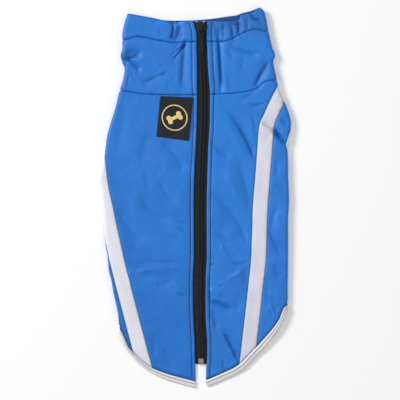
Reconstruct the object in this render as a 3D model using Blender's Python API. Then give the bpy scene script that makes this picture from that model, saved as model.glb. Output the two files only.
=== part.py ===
"""A small dog's jacket with a zip along the back, lying flat on a table.

Sizes are in millimetres until a mesh is made. X runs across the jacket, +Y towards the
collar and +Z up. The jacket is a flattened tube: an under layer on the table, a round fold
at each side and an upper layer that holds the zip. A place on the cloth is given by its
side (-1 left, 1 right), its reach (the distance along the cloth from the middle line X = 0,
outwards on the upper layer, round the fold and back along the under layer) and its level Y.
"""
import math

import bpy
import bmesh
import numpy as np
from mathutils import Matrix, Vector
from mathutils.geometry import delaunay_2d_cdt

MM = 0.001
CLOTH = 1.5                # thickness of a cloth wall
TAPE = 1.0                 # thickness of the zip tapes
TEETH = 2.4                # thickness of the rows of teeth
SEAM = 0.3                 # gap between neighbouring pieces
STRIPE = 15.2              # width of the reflective stripes
BINDING = 6.0              # width of the bindings
TEETH_ROW = 3.0            # width of one row of teeth
HALF = SEAM / 2
LEG_HOLE = (25.0, 28.0)    # half width and half length of a leg hole
LEG_LEVEL = 60.0           # level of the leg holes' middles
FOLD_BLEND = 26.0          # how far in from a side fold the upper layer slopes down
LEFT, RIGHT = -1, 1
SIDE_NAMES = ((LEFT, "left"), (RIGHT, "right"))
LEG_REACH = {LEFT: 147.0, RIGHT: 123.4}

EDGE_STEP = 5.0            # spacing of points along the edges and seams round the jacket
UNDER_STEP = 12.0          # and on the under layer
FOLD_STEP = 2.4            # and round the side folds
BODY_STEP = (11.0, 9.0)    # spacing of points across and along the body pieces
NECK_STEP = (5.0, 4.5)     # and on the collar band and neck panel
STRIP_STEP = (5.0, 6.0)    # and on narrow strips

BLUE = ((0.030, 0.190, 0.610), 0.45, 0.0)
SILVER = ((0.68, 0.70, 0.78), 0.45, 0.0)
BLACK_TAPE = ((0.016, 0.015, 0.016), 0.8, 0.0)
BLACK_HARD = ((0.020, 0.020, 0.022), 0.4, 0.3)
STEEL = ((0.55, 0.56, 0.55), 0.35, 1.0)


def table(names, *rows):
    """Columns of numbers by name."""
    return dict(zip(names.split(), np.array(rows, float).T))


# Side folds as seen from above, their height, and the middle height of the upper layer.
SIDES = table(
    "y left right fold lay",
    (192, -67, 69.0, 6.0, 4.2),
    (184, -67.5, 70.0, 6.6, 4.6),
    (176, -70, 71.5, 6.8, 5.0),
    (160, -72.5, 74.7, 6.8, 5.2),
    (150, -72.2, 77.2, 6.8, 5.2),
    (142, -74.3, 79.8, 6.8, 5.2),
    (136, -73, 78.2, 6.8, 5.1),
    (130, -70.2, 79.2, 6.8, 5.0),
    (120, -71.6, 81.6, 6.8, 5.0),
    (108, -75.2, 84.3, 6.6, 4.8),
    (92, -79, 91.0, 6.4, 4.6),
    (74, -84.5, 95.95, 6.2, 4.6),
    (60, -88, 94.0, 6.2, 4.6),
    (48, -90, 92.6, 6.2, 4.6),
    (32, -93.5, 93.1, 6.2, 4.4),
    (18, -95.85, 93.3, 6.2, 4.4),
    (9, -94.3, 93.5, 6.2, 4.3),
    (0, -93.3, 93.8, 6.2, 4.2),
    (-22, -91.2, 92.9, 6.1, 4.1),
    (-46, -89.5, 92.9, 6.0, 4.0),
    (-58, -87.3, 92.9, 5.9, 3.9),
    (-72, -86.2, 92.8, 5.7, 3.7),
    (-84, -83, 92.7, 5.6, 3.6),
    (-104, -80, 92.4, 5.2, 3.1),
    (-120, -77.4, 90.4, 4.8, 2.7),
    (-132, -75.6, 88.6, 4.7, 2.4),
    (-140, -74.2, 87.4, 4.6, 2.2),
    (-152, -70.6, 86.0, 4.4, 1.9),
    (-164, -68.6, 85.4, 2.6, 1.5),
    (-178, -67.6, 85.0, 1.7, 0.75),
    (-190, -67.6, 85.0, 1.7, 0.75),
)

# The zip: its middle line, half the opening between the panels, half the gap between the teeth.
ZIP = table(
    "y middle half vee",
    (178, 5.2, 7.4, 3.2),
    (174.5, 5.5, 6.6, 1.6),
    (171, 5.8, 5.8, 0.8),
    (165, 6.3, 4.7, 0.15),
    (152, 6.9, 5.0, 0.15),
    (128, 7.6, 5.5, 0.15),
    (104, 8.5, 6.4, 0.15),
    (80, 8.4, 6.4, 0.15),
    (50, 7.1, 6.2, 0.15),
    (20, 5.8, 6.5, 0.15),
    (-10, 5.3, 6.4, 0.15),
    (-56, 5.5, 6.4, 0.15),
    (-80, 4.4, 6.4, 0.15),
    (-98, 4.3, 6.3, 0.15),
    (-124, 4.8, 6.1, 0.15),
    (-144, 6.0, 6.2, 0.15),
    (-162, 6.1, 6.0, 0.15),
    (-172, 5.8, 5.3, 0.15),
    (-190, 5.8, 5.2, 0.15),
)

# Reach of each stripe's inner edge.
STRIPES = table(
    "y left right",
    (124, 103, 84.0),
    (112, 99, 82.0),
    (100, 96, 76.1),
    (84, 93.6, 68.8),
    (74, 92.6, 64.4),
    (66, 91.8, 63.2),
    (40, 89.4, 61.4),
    (14, 86.4, 59.3),
    (-10, 81.4, 57.5),
    (-42, 74.6, 56.5),
    (-60, 70.7, 55.8),
    (-84, 64.8, 53.4),
    (-108, 58.6, 50.8),
    (-132, 52.4, 48.0),
    (-166, 43.4, 44.2),
    (-180, 39.8, 42.6),
)

# Edges and seams that run round the jacket: their level on the upper and on the under layer.
COLLAR_TOP = table(
    "x upper under",
    (-67.5, 184, 184),
    (-56, 182, 182.5),
    (-43, 179.5, 180.2),
    (-30, 176.8, 177.6),
    (-20, 175.4, 177.2),
    (-12, 176.3, 177.2),
    (-4, 176.5, 177.4),
    (16, 176.6, 179),
    (30, 175.8, 181),
    (42, 175.8, 182.7),
    (46.5, 182.5, 184.5),
    (57, 184.5, 187.2),
    (64.5, 189.85, 189.85),
    (70, 184.5, 184.5),
)
COLLAR_SEAM = table(
    "x upper under",
    (-72, 157, 157),
    (-57, 161, 158),
    (-36, 157.5, 159),
    (-20, 155.2, 160),
    (0, 156, 162),
    (28, 156.4, 163.5),
    (36, 158.6, 164),
    (45, 163, 165),
    (51, 166.2, 165.5),
    (61, 168.4, 166),
    (73, 165.6, 165.6),
)
NECK_SEAM = table(
    "x upper under",
    (-75, 107.5, 107.5),
    (-48, 103.7, 107),
    (-20, 102.7, 107),
    (33, 104.2, 109),
    (50, 106, 111),
    (60, 108.6, 113),
    (70, 116, 115),
    (81, 118, 118),
)
HEM = table(
    "x upper under",
    (-74.2, -138, -133),
    (-72.4, -143, -131),
    (-70.3, -147.4, -129),
    (-67.5, -152, -126),
    (-62.5, -158, -121),
    (-57.3, -164, -115),
    (-51, -169.9, -108),
    (-42, -175.8, -97),
    (-28.5, -181.8, -81),
    (-8, -187.6, -67),
    (4, -190.3, -63),
    (14, -187.8, -63),
    (28.2, -182, -67),
    (41.2, -176, -72),
    (50, -170, -77),
    (61.2, -158.2, -84),
    (72.2, -146, -92),
    (81, -134.2, -99),
    (84.8, -128, -102.5),
    (87.8, -121.6, -105),
    (90, -115.6, -107.5),
    (91.2, -111, -109),
)

# Width of the hem's binding that lies flat: less where its edge turns in beside the folds.
HEM_BAND = table(
    "x width",
    (-100, 6.0),
    (-82, 4.0),
    (-73, 2.4),
    (-61, 3.4),
    (-45, 4.8),
    (-30, 6.0),
    (2, 6.4),
    (40, 6.8),
    (70, 6.2),
    (83, 4.6),
    (91, 2.8),
    (99, 4.0),
    (112, 6.0),
)

# The largest folds of the upper layer, from end to end, as troughs (or ridges where negative).
FOLDS = table(
    "x0 y0 x1 y1 width depth",
    (-16, 176, -19, 160, 3.2, 1.8),
    (-22, 174, -22.5, 161, 3.0, 1.2),
    (-66, 146, -58, 145, 5.0, 1.6),
    (-66, 138, -57, 128, 3.0, 1.4),
    (-50, 115, -38, 123, 3.0, 0.9),
    (-10, 150, -10, 112, 4.0, 0.8),
    (24.5, 166, 25.5, 108, 3.0, 1.8),
    (43, 182, 44, 168, 2.6, 1.2),
    (72, 134, 62, 114, 4.5, 1.8),
    (37, 151, 60, 144, 3.5, 1.0),
    (77, 66, 88, 54, 3.5, 0.9),
)

LABEL = table("x y", (-38.5, 61.3), (-6, 56.9), (-1.9, 100.2), (-34.6, 101.6))
LABEL_WALL = 1.0

SLIDER_Y = 169.0           # level of the slider's middle
SLIDER_SIZE = (9.6, 11.0)  # width at its upper end and length
SLIDER_PLATE = 1.0
PIN_BACK = 1.6             # the pull's pin lies this far below the slider's middle
PIN_RISE = 3.5             # and this far above the middle of the teeth
PULL_LENGTH = 24.0
PULL_WALL = 1.0
ZIP_TOP = 176.2            # upper end of the tapes
ZIP_STRAIGHT = 99.0        # below this level the zip runs nearly straight
END_BOX = (-166.0, -160.2) # lower and upper end of the metal end box
END_BOX_WIDTH = 5.2
END_SLANT = 0.4            # slope of the hem binding's ends beside the zip


def follow(columns, name, where):
    """A smooth curve through a table's column that never swings past its points."""
    first = next(iter(columns))
    order = np.argsort(columns[first])
    x, y = columns[first][order], columns[name][order]
    gap = np.diff(x)
    slope = np.diff(y) / gap
    before, after = slope[:-1], slope[1:]
    steady = before * after > 0
    total = np.where(steady, before + after, 1.0)
    inner = np.where(steady, 2 * before * after / total, 0.0)
    tangent = np.concatenate(([slope[0]], inner, [slope[-1]]))
    at = np.clip(where, x[0], x[-1])
    k = np.clip(np.searchsorted(x, at) - 1, 0, len(gap) - 1)
    t = (at - x[k]) / gap[k]
    rise = (1 + 2 * t) * (1 - t) ** 2 * y[k] + t * t * (3 - 2 * t) * y[k + 1]
    return rise + gap[k] * (t * (1 - t) ** 2 * tangent[k] - t * t * (1 - t) * tangent[k + 1])


def fold_round(side, y):
    """Reach where the side fold begins at level y, and the radius of the wall's middle there."""
    edge = np.where(side < 0, -follow(SIDES, "left", y), follow(SIDES, "right", y))
    outer = follow(SIDES, "fold", y) / 2
    return edge - outer, outer - CLOTH / 2


def ease(value):
    """0 to 1 with level ends."""
    part = np.clip(value, 0, 1)
    return part * part * (3 - 2 * part)


def fold_lift(x, y):
    """How much the folds raise the upper layer at a point."""
    lift = np.zeros_like(x, dtype=float)
    for x0, y0, x1, y1, width, depth in zip(*FOLDS.values()):
        along = np.array((x1 - x0, y1 - y0))
        part = ((x - x0) * along[0] + (y - y0) * along[1]) / (along @ along)
        part = np.clip(part, 0, 1)
        away = np.hypot(x - x0 - part * along[0], y - y0 - part * along[1])
        lift -= depth * np.exp(-(away / width) ** 2)
    return lift


def upper_height(side, reach, y):
    """Height of the middle of the upper layer's wall."""
    centre, radius = fold_round(side, y)
    lay = follow(SIDES, "lay", y)
    near = 1 - ease((centre - reach) / FOLD_BLEND)
    top = 2 * radius + CLOTH / 2
    lift = fold_lift(side * reach, y) * ease((centre - reach) / 6)
    lowest = np.minimum(lay, 1.5 * CLOTH + SEAM)
    return np.maximum(lay + (top - lay) * near + lift, lowest)


def unroll(side, reach, y):
    """Distance along the cloth from the middle of the under layer, left negative."""
    centre, radius = fold_round(side, y)
    return side * (2 * centre + math.pi * radius - reach)


def middle_of_wall(along, y):
    """Point in the middle of the cloth's wall, from its unrolled distance and level."""
    side = np.where(along < 0, LEFT, RIGHT)
    centre, radius = fold_round(side, y)
    reach = 2 * centre + math.pi * radius - np.abs(along)
    turn = np.clip((reach - centre) / radius, 0, math.pi)
    under = np.maximum(reach - centre - math.pi * radius, 0)
    x = side * (np.minimum(reach, centre) + radius * np.sin(turn) - under)
    round_height = CLOTH / 2 + radius * (1 + np.cos(turn))
    z = np.where(reach <= centre, upper_height(side, reach, y), round_height)
    return np.stack((x, y, z), axis=-1)


def wall_point(along, y, out):
    """Point at a distance out from the middle of the wall, away from the jacket's inside."""
    step = 0.2
    across = middle_of_wall(along + step, y) - middle_of_wall(along - step, y)
    down = middle_of_wall(along, y + step) - middle_of_wall(along, y - step)
    normal = np.cross(down, across)
    normal /= np.linalg.norm(normal, axis=-1, keepdims=True)
    return middle_of_wall(along, y) + normal * out


def zip_reach(side, y):
    """Reach of a back panel's edge beside the zip."""
    return side * follow(ZIP, "middle", y) + follow(ZIP, "half", y)


def vee_reach(side, y):
    """Reach of the teeth's inner edge."""
    return side * follow(ZIP, "middle", y) + follow(ZIP, "vee", y)


def stripe_reach(side, y):
    """Reach of a stripe's inner edge."""
    return follow(STRIPES, "left" if side < 0 else "right", y)


def stations(side, y, step, under_step):
    """Reaches where the cloth has points at level y: close together round the side fold."""
    centre, radius = (float(value) for value in fold_round(side, y))
    turn = math.pi * radius
    upper = np.arange(centre, -20, -step)[::-1]
    quarters = centre + turn * np.arange(1, 5) / 4
    under = np.arange(centre + turn + under_step, 2 * centre + turn, under_step)
    return np.concatenate((upper, quarters, under[:-1], [2 * centre + turn]))


def fold_bend(columns, side):
    """Points (along, y) where an edge goes round a side fold, from the upper to the under layer."""
    turn = np.linspace(0, math.pi, 9)
    y = np.full(len(turn), columns["upper"][0 if side < 0 else -1])
    for _ in range(25):
        centre, radius = fold_round(side, y)
        x = side * (centre + radius * np.sin(turn))
        upper, under = follow(columns, "upper", x), follow(columns, "under", x)
        y = upper + turn / math.pi * (under - upper)
    return np.stack((unroll(side, centre + radius * turn, y), y), axis=1), centre[0], centre[-1]


def whole_edge(columns):
    """Close-set points (along, y) on an edge round the jacket from left to right."""
    halves = []
    for side in (LEFT, RIGHT):
        bend, first, last = fold_bend(columns, side)
        reach = np.arange(-20, first - 0.5)
        levels = follow(columns, "upper", side * reach)
        upper = np.stack((unroll(side, reach, levels), levels), axis=1)
        x = side * np.arange(1, last - 0.5)[::-1]
        under = np.stack((x, follow(columns, "under", x)), axis=1)
        halves.append(np.vstack((upper, bend, under)))
    left, right = halves
    return np.vstack((left, [[0, follow(columns, "under", 0)]], right[::-1]))


def moved(line, up):
    """A line moved square to itself in its own plane."""
    run = np.gradient(line, axis=0)
    run /= np.linalg.norm(run, axis=1, keepdims=True)
    return line + np.reshape(up, (-1, 1)) * np.stack((-run[:, 1], run[:, 0]), axis=1)


def shifted(line, up):
    """A line on the cloth moved up, square to itself as it lies on each layer."""
    along, y = line.T
    side = np.where(along < 0, LEFT, RIGHT)
    centre, radius = fold_round(side, y)
    past = side * unroll(side, 0, y) - np.abs(along) - centre - radius * math.pi / 2
    under = moved(line, up)
    upper = moved(np.stack((along - unroll(side, 0, y), y), axis=1), up)
    upper[:, 0] += unroll(side, 0, upper[:, 1])
    return upper + ease(past / 12)[:, None] * (under - upper)


def hem_band(line):
    """Width of the hem's binding at each point of a line."""
    along, y = line.T
    side = np.where(along < 0, LEFT, RIGHT)
    return follow(HEM_BAND, "width", unroll(side, 0, y) - along)


def edge_line(columns, inset=None, gap=0.0):
    """Points (along, y) on an edge moved up by an inset, then by its share of a seam's gap."""
    line = whole_edge(columns)
    if inset is not None:
        line = shifted(line, inset(line))
    along, y = line.T
    centre, radius = fold_round(np.sign(along), y)
    away = np.abs(along) - centre
    step = np.where(away > 0, EDGE_STEP, UNDER_STEP)
    step = np.where((away > -1) & (away < math.pi * radius + 1), FOLD_STEP, step)
    lengths = np.hypot(*np.diff(line, axis=0).T) / np.minimum(step[:-1], step[1:])
    place = np.concatenate(([0], np.cumsum(lengths)))
    marks = np.linspace(0, place[-1], math.ceil(place[-1]) + 1)
    chosen = np.stack([np.interp(marks, place, line[:, axis]) for axis in (0, 1)], axis=1)
    return shifted(chosen, gap)


def crossing(line, side, seam):
    """Place along an edge's points where it first meets a seam, counted from the left."""
    ahead = line if side < 0 else line[::-1]
    past = -side * (ahead[:, 0] - unroll(side, seam(ahead[:, 1]), ahead[:, 1]))
    first = int(np.flatnonzero((past[:-1] <= 0) & (past[1:] > 0))[0])
    place = first + past[first] / (past[first] - past[first + 1])
    return place if side < 0 else len(line) - 1 - place


def stretch(line, start, stop):
    """The part of an edge's points between two places, either way round."""
    low, high = sorted((start, stop))
    middle = [i for i in range(math.ceil(low + 0.15), math.floor(high - 0.15) + 1)]
    places = np.array([low, *middle, high])
    points = np.stack([np.interp(places, np.arange(len(line)), line[:, axis]) for axis in (0, 1)], 1)
    return points if start <= stop else points[::-1]


def seam_line(side, seam, start, stop, step):
    """Points (along, y) on a seam down the jacket between two levels."""
    low, high = sorted((start, stop))
    levels = np.arange(math.ceil(low / step), math.floor(high / step) + 1) * step
    levels = levels[(levels > low + 0.8) & (levels < high - 0.8)]
    levels = np.concatenate(([low], levels, [high]))
    if start > stop:
        levels = levels[::-1]
    return np.stack((unroll(side, seam(levels), levels), levels), axis=1)


def outline(start, stop, top, bottom, step):
    """Outline of a piece between two seams down the jacket, each (side, reach of a level)."""
    ends = [[crossing(edge, *seam) for seam in (start, stop)] for edge in (top, bottom)]
    above, below = stretch(top, *ends[0]), stretch(bottom, *ends[1][::-1])
    down = seam_line(*stop, above[-1, 1], below[0, 1], step)
    back = seam_line(*start, below[-1, 1], above[0, 1], step)
    return np.vstack((above, down[1:], below[1:], back[1:-1]))


def inside(points, loop, margin):
    """Which points lie within a closed loop and at least a margin from it."""
    loop = np.asarray(loop)
    start, end = loop, np.roll(loop, -1, axis=0)
    px, py = points[:, :1], points[:, 1:]
    crosses = (start[:, 1] > py) != (end[:, 1] > py)
    rise = np.where(end[:, 1] == start[:, 1], 1.0, end[:, 1] - start[:, 1])
    at = start[:, 0] + (py - start[:, 1]) / rise * (end[:, 0] - start[:, 0])
    within = (crosses & (px < at)).sum(axis=1) % 2 == 1
    run = end - start
    length = np.maximum((run ** 2).sum(axis=1), 1e-9)
    part = np.clip(((px - start[:, 0]) * run[:, 0] + (py - start[:, 1]) * run[:, 1]) / length, 0, 1)
    away = np.hypot(px - start[:, 0] - part * run[:, 0], py - start[:, 1] - part * run[:, 1])
    return within, away.min(axis=1) > margin


def fill(shape, holes, step):
    """Flat triangles over an outline less its holes, with points inside at the stations."""
    rows = []
    first, last = (math.ceil(shape[:, 1].min() / step[1]), math.floor(shape[:, 1].max() / step[1]))
    for y in np.arange(first, last + 1) * step[1]:
        for side in (LEFT, RIGHT):
            marks = stations(side, y, step[0], UNDER_STEP)
            rows += list(zip(unroll(side, marks, y), np.full(len(marks), y)))
    rows = np.array(rows).reshape(-1, 2)
    within, clear = inside(rows, shape, 1.0)
    keep = within & clear
    for hole in holes:
        within, clear = inside(rows, hole, 1.5)
        keep &= ~within & clear
    _, once = np.unique(rows.round(2), axis=0, return_index=True)
    rows = rows[np.intersect1d(once, np.flatnonzero(keep))]
    points, edges = list(shape), []
    edges += [(i, (i + 1) % len(shape)) for i in range(len(shape))]
    for hole in holes:
        base = len(points)
        points += list(hole)
        edges += [(base + i, base + (i + 1) % len(hole)) for i in range(len(hole))]
    points += list(rows)
    flat = [Vector((float(p[0]), float(p[1]))) for p in points]
    spots, _, faces, *_ = delaunay_2d_cdt(flat, edges, [], 1, 1e-5)
    spots = np.array([tuple(spot) for spot in spots])
    faces = np.array(faces)
    for hole in holes:
        within, _ = inside(spots[faces].mean(axis=1), hole, 0)
        faces = faces[~within]
    return spots, faces


def material(name, finish):
    """A plain material with its colour, roughness and metallic value."""
    colour, roughness, metallic = finish
    made = bpy.data.materials.new(name)
    made.use_nodes = True
    shader = made.node_tree.nodes["Principled BSDF"]
    shader.inputs["Base Color"].default_value = (*colour, 1)
    shader.inputs["Roughness"].default_value = roughness
    shader.inputs["Metallic"].default_value = metallic
    return made


def show(name, finish, vertices, faces):
    """Make the object of one closed piece, from points in millimetres."""
    mesh = bpy.data.meshes.new(name)
    mesh.from_pydata([tuple(MM * value for value in point) for point in vertices], [], faces)
    mesh.materials.append(material(name, finish))
    mesh.shade_smooth()
    mesh.set_sharp_from_angle(angle=math.radians(40))
    made = bpy.data.objects.new(name, mesh)
    bpy.context.scene.collection.objects.link(made)
    return made


def cloth(name, finish, shape, step, wall=CLOTH, out=0.0, holes=()):
    """A closed wall of cloth over an outline, drawn on the unrolled jacket."""
    spots, faces = fill(shape, holes, step)
    used = np.unique(faces)
    spots, faces = spots[used], np.searchsorted(used, faces)
    outer = wall_point(spots[:, 0], spots[:, 1], out + wall / 2)
    inner = wall_point(spots[:, 0], spots[:, 1], out - wall / 2)
    count = len(spots)
    area = np.cross(spots[faces[:, 1]] - spots[faces[:, 0]], spots[faces[:, 2]] - spots[faces[:, 0]])
    faces[area > 0] = faces[area > 0][:, ::-1]
    skin = [tuple(face) for face in faces]
    sides = {(face[i], face[(i + 1) % 3]) for face in skin for i in range(3)}
    back = [tuple(count + index for index in face[::-1]) for face in skin]
    order = spots @ (0.5, 1.0)
    rim = []
    for a, b in sorted(sides):
        if (b, a) not in sides:
            turn = order[a] < order[b]
            rim += [(b, a, b + count if turn else a + count)]
            rim += [(a if turn else b, a + count, b + count)]
    return show(name, finish, np.vstack((outer, inner)), skin + back + rim)


def panel_edge(side, across):
    """The back panel's edge beside the zip, moved outwards."""
    return lambda y: zip_reach(side, y) + across


def vee_edge(side, across):
    """The teeth's inner edge, moved outwards."""
    return lambda y: vee_reach(side, y) + across


def zip_edge(side):
    """The seam where cloth meets the zip."""
    return side, panel_edge(side, 0)


def stripe_edge(side, across):
    """A seam beside a reflective stripe, at a distance across from its inner edge."""
    return side, lambda y: stripe_reach(side, y) + across


def plain_end(side, reach):
    """A straight cut across a binding."""
    return side, lambda y: 0 * y + reach


def slanted_end(side):
    """The binding's cut end at the zip, square to the hem."""
    top = HEM["upper"].min() + BINDING
    return side, lambda y: zip_reach(side, y) + END_SLANT * np.maximum(top - y, 0)


def collar_band():
    """The strip round the neck."""
    shape = outline(zip_edge(LEFT), zip_edge(RIGHT), edge_line(COLLAR_TOP),
                    edge_line(COLLAR_SEAM, None, HALF), NECK_STEP[1])
    cloth("collar_band", BLUE, shape, NECK_STEP)


def neck_panel():
    """The yoke between the collar band and the body."""
    shape = outline(zip_edge(LEFT), zip_edge(RIGHT), edge_line(COLLAR_SEAM, None, -HALF),
                    edge_line(NECK_SEAM, None, HALF), NECK_STEP[1])
    cloth("neck_panel", BLUE, shape, NECK_STEP)


def back_panels():
    """The panels beside the zip, down to the hem binding."""
    for side, name in SIDE_NAMES:
        shape = outline(zip_edge(side), stripe_edge(side, -HALF), edge_line(NECK_SEAM, None, -HALF),
                        edge_line(HEM, hem_band, HALF), BODY_STEP[1])
        cloth(f"back_panel_{name}", BLUE, shape, BODY_STEP)


def reflective_stripes():
    """The reflective tapes let in outside the back panels."""
    for side, name in SIDE_NAMES:
        shape = outline(stripe_edge(side, HALF), stripe_edge(side, STRIPE - HALF),
                        edge_line(NECK_SEAM, None, -HALF), edge_line(HEM, hem_band, HALF), BODY_STEP[1])
        cloth(f"reflective_stripe_{name}", SILVER, shape, BODY_STEP)


def leg_ring(side, grow):
    """Oval round a leg hole, on the unrolled cloth."""
    middle = float(unroll(side, LEG_REACH[side], LEG_LEVEL))
    turn = np.linspace(0, 2 * math.pi, 28, endpoint=False)
    width, length = LEG_HOLE
    return np.stack((middle + (width + grow) * np.cos(turn),
                     LEG_LEVEL + (length + grow) * np.sin(turn)), axis=1)


def belly_panel():
    """The side and belly piece, with its two leg holes."""
    shape = outline(stripe_edge(LEFT, STRIPE + HALF), stripe_edge(RIGHT, STRIPE + HALF),
                    edge_line(NECK_SEAM, None, -HALF), edge_line(HEM, hem_band, HALF), BODY_STEP[1])
    holes = [leg_ring(side, BINDING + HALF) for side in (LEFT, RIGHT)]
    cloth("belly_panel", BLUE, shape, BODY_STEP, holes=holes)


def leg_bindings():
    """The silver rings round the leg holes."""
    for side, name in SIDE_NAMES:
        cloth(f"leg_binding_{name}", SILVER, leg_ring(side, BINDING - HALF), STRIP_STEP,
              holes=[leg_ring(side, 0)])


def hem_bindings():
    """The silver strip along the hem: two upper lengths and the one under the belly."""
    inner, outer = edge_line(HEM, hem_band, -HALF), edge_line(HEM)
    folds = {}
    for side, name in SIDE_NAMES:
        centre, radius = fold_round(side, HEM["upper"][0 if side < 0 else -1])
        folds[side] = float(centre + radius * math.pi / 2)
        upper = outline(slanted_end(side), plain_end(side, folds[side] - HALF), inner, outer,
                        STRIP_STEP[1])
        cloth(f"hem_binding_{name}", SILVER, upper, STRIP_STEP)
    under = outline(plain_end(LEFT, folds[LEFT] + HALF), plain_end(RIGHT, folds[RIGHT] + HALF),
                    inner, outer, STRIP_STEP[1])
    cloth("hem_binding_belly", SILVER, under, STRIP_STEP)


def zip_strip(side, start, stop, inner, outer):
    """Outline of a narrow strip along the zip, between two reach functions."""
    middle = float(np.clip(ZIP_STRAIGHT, stop, start))
    down = [seam_line(side, outer, start, middle, NECK_STEP[1]),
            seam_line(side, outer, middle, stop, BODY_STEP[1])[1:]]
    back = [seam_line(side, inner, stop, middle, BODY_STEP[1]),
            seam_line(side, inner, middle, start, NECK_STEP[1])[1:]]
    if middle == stop:
        down, back = down[:1], [seam_line(side, inner, stop, start, NECK_STEP[1])]
    return np.vstack(down + back)


def zip_halves():
    """Each side's tape, its row of teeth and the stop above them."""
    for side, name in SIDE_NAMES:
        inner = vee_edge(side, 0)
        outer = vee_edge(side, TEETH_ROW)
        tape = zip_strip(side, ZIP_TOP, END_BOX[0], vee_edge(side, TEETH_ROW + SEAM),
                         panel_edge(side, -SEAM))
        cloth(f"zip_tape_{name}", BLACK_TAPE, tape, STRIP_STEP, wall=TAPE)
        teeth = zip_strip(side, ZIP_TOP - 1.8, END_BOX[1] + SEAM, inner, outer)
        cloth(f"zip_teeth_{name}", BLACK_HARD, teeth, STRIP_STEP, wall=TEETH)
        stop = zip_strip(side, ZIP_TOP + 0.6, ZIP_TOP - 1.5, vee_edge(side, 0.2), outer)
        cloth(f"zip_top_stop_{name}", STEEL, stop, STRIP_STEP, wall=TEETH)


def zip_end_box():
    """The metal box that holds the two tapes together at the hem end."""
    y = np.array((END_BOX[0], END_BOX[1], END_BOX[1], END_BOX[0]))
    across = np.array((-1, -1, 1, 1)) * END_BOX_WIDTH / 2
    reach = across - follow(ZIP, "middle", y)
    shape = np.stack((unroll(LEFT, reach, y), y), axis=1)
    cloth("zip_end_box", STEEL, shape, STRIP_STEP, wall=TEETH)


def neck_label():
    """The label, made from the back panel's points moved out."""
    corners = np.stack((LABEL["x"], LABEL["y"]), axis=1)
    spots = np.vstack([corner + part * (after - corner)
                       for corner, after in zip(corners, np.roll(corners, -1, axis=0))
                       for part in (0, 0.25, 0.5, 0.75)])
    shape = np.stack((unroll(LEFT, -spots[:, 0], spots[:, 1]), spots[:, 1]), axis=1)
    cloth("neck_label", BLACK_TAPE, shape, BODY_STEP, wall=LABEL_WALL,
          out=CLOTH / 2 + SEAM + LABEL_WALL / 2)


def block(low, high):
    """Corners and faces of a box."""
    made = bmesh.new()
    bmesh.ops.create_cube(made, size=1)
    size = Vector(high) - Vector(low)
    middle = (Vector(high) + Vector(low)) / 2
    placed = Matrix.Translation(middle) @ Matrix.Diagonal((*size, 1))
    bmesh.ops.transform(made, matrix=placed, verts=made.verts)
    return made


def temporary(made, name):
    """An unlinked-from-view object of a bmesh, to be joined into another."""
    mesh = bpy.data.meshes.new(name)
    made.to_mesh(mesh)
    made.free()
    piece = bpy.data.objects.new(name, mesh)
    bpy.context.scene.collection.objects.link(piece)
    return piece


def joined(name, finish, parts, place):
    """One solid from overlapping parts, with its origin at a place; sizes in millimetres."""
    base, *others = [temporary(part, f"{name}_part{index}") for index, part in enumerate(parts)]
    for other in others:
        cut = base.modifiers.new("join", "BOOLEAN")
        cut.operation = "UNION"
        cut.object = other
    bpy.context.view_layer.update()
    mesh = bpy.data.meshes.new_from_object(base.evaluated_get(bpy.context.evaluated_depsgraph_get()))
    for piece in (base, *others):
        bpy.data.objects.remove(piece)
    mesh.transform(Matrix.Scale(MM, 4))
    mesh.materials.clear()
    mesh.materials.append(material(name, finish))
    mesh.shade_smooth()
    mesh.set_sharp_from_angle(angle=math.radians(30))
    made = bpy.data.objects.new(name, mesh)
    made.location = Vector(place) * MM
    bpy.context.scene.collection.objects.link(made)
    return made


def plate(outline, low, high):
    """A flat plate between two heights."""
    made = bmesh.new()
    face = made.faces.new([made.verts.new((x, y, low)) for x, y in outline])
    lifted = bmesh.ops.extrude_face_region(made, geom=[face])["geom"]
    verts = [item for item in lifted if isinstance(item, bmesh.types.BMVert)]
    bmesh.ops.translate(made, vec=(0, 0, high - low), verts=verts)
    bmesh.ops.recalc_face_normals(made, faces=made.faces)
    return made


def teeth_height(y):
    """Height of the middle of the teeth at a level."""
    return float(follow(SIDES, "lay", y))


def zip_slider():
    """Two plates over and under the teeth, a post in the vee, side rails and the pull's arch."""
    width, length = SLIDER_SIZE
    half, end = width / 2, length / 2
    shield = [(-half, end - 2), (-half + 1.6, end), (half - 1.6, end), (half, end - 2),
              (half - 0.4, -end + 2.4), (half - 1.8, -end), (-half + 1.8, -end), (-half + 0.4, -end + 2.4)]
    face = TEETH / 2 + SEAM
    rail_low = TAPE / 2 + 0.4
    parts = [plate(shield, face, face + SLIDER_PLATE), plate(shield, -face - SLIDER_PLATE, -face),
             block((-0.5, 3.0, -face - 0.2), (0.5, 5.0, face + 0.2))]
    for across in (-1, 1):
        for up in (-1, 1):
            low, high = sorted((up * rail_low, up * (face + 0.3)))
            near, far = sorted((across * (TEETH_ROW + 0.8), across * (half - 0.5)))
            parts.append(block((near, -end + 2.4, low), (far, -0.6, high)))
    top = face + SLIDER_PLATE
    bridge_low, bridge_high = PIN_RISE + 0.85, PIN_RISE + 1.75
    foot, head = -PIN_BACK - 1.9, -PIN_BACK + 2.3
    parts += [block((-0.9, foot, top - 0.2), (0.9, foot + 1.0, bridge_high)),
              block((-0.9, head - 1.0, top - 0.2), (0.9, head, bridge_high)),
              block((-0.9, foot + 0.5, bridge_low), (0.9, head - 0.5, bridge_high))]
    middle = float(follow(ZIP, "middle", SLIDER_Y))
    joined("zip_slider", BLACK_HARD, parts, (middle, SLIDER_Y, teeth_height(SLIDER_Y)))


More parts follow.
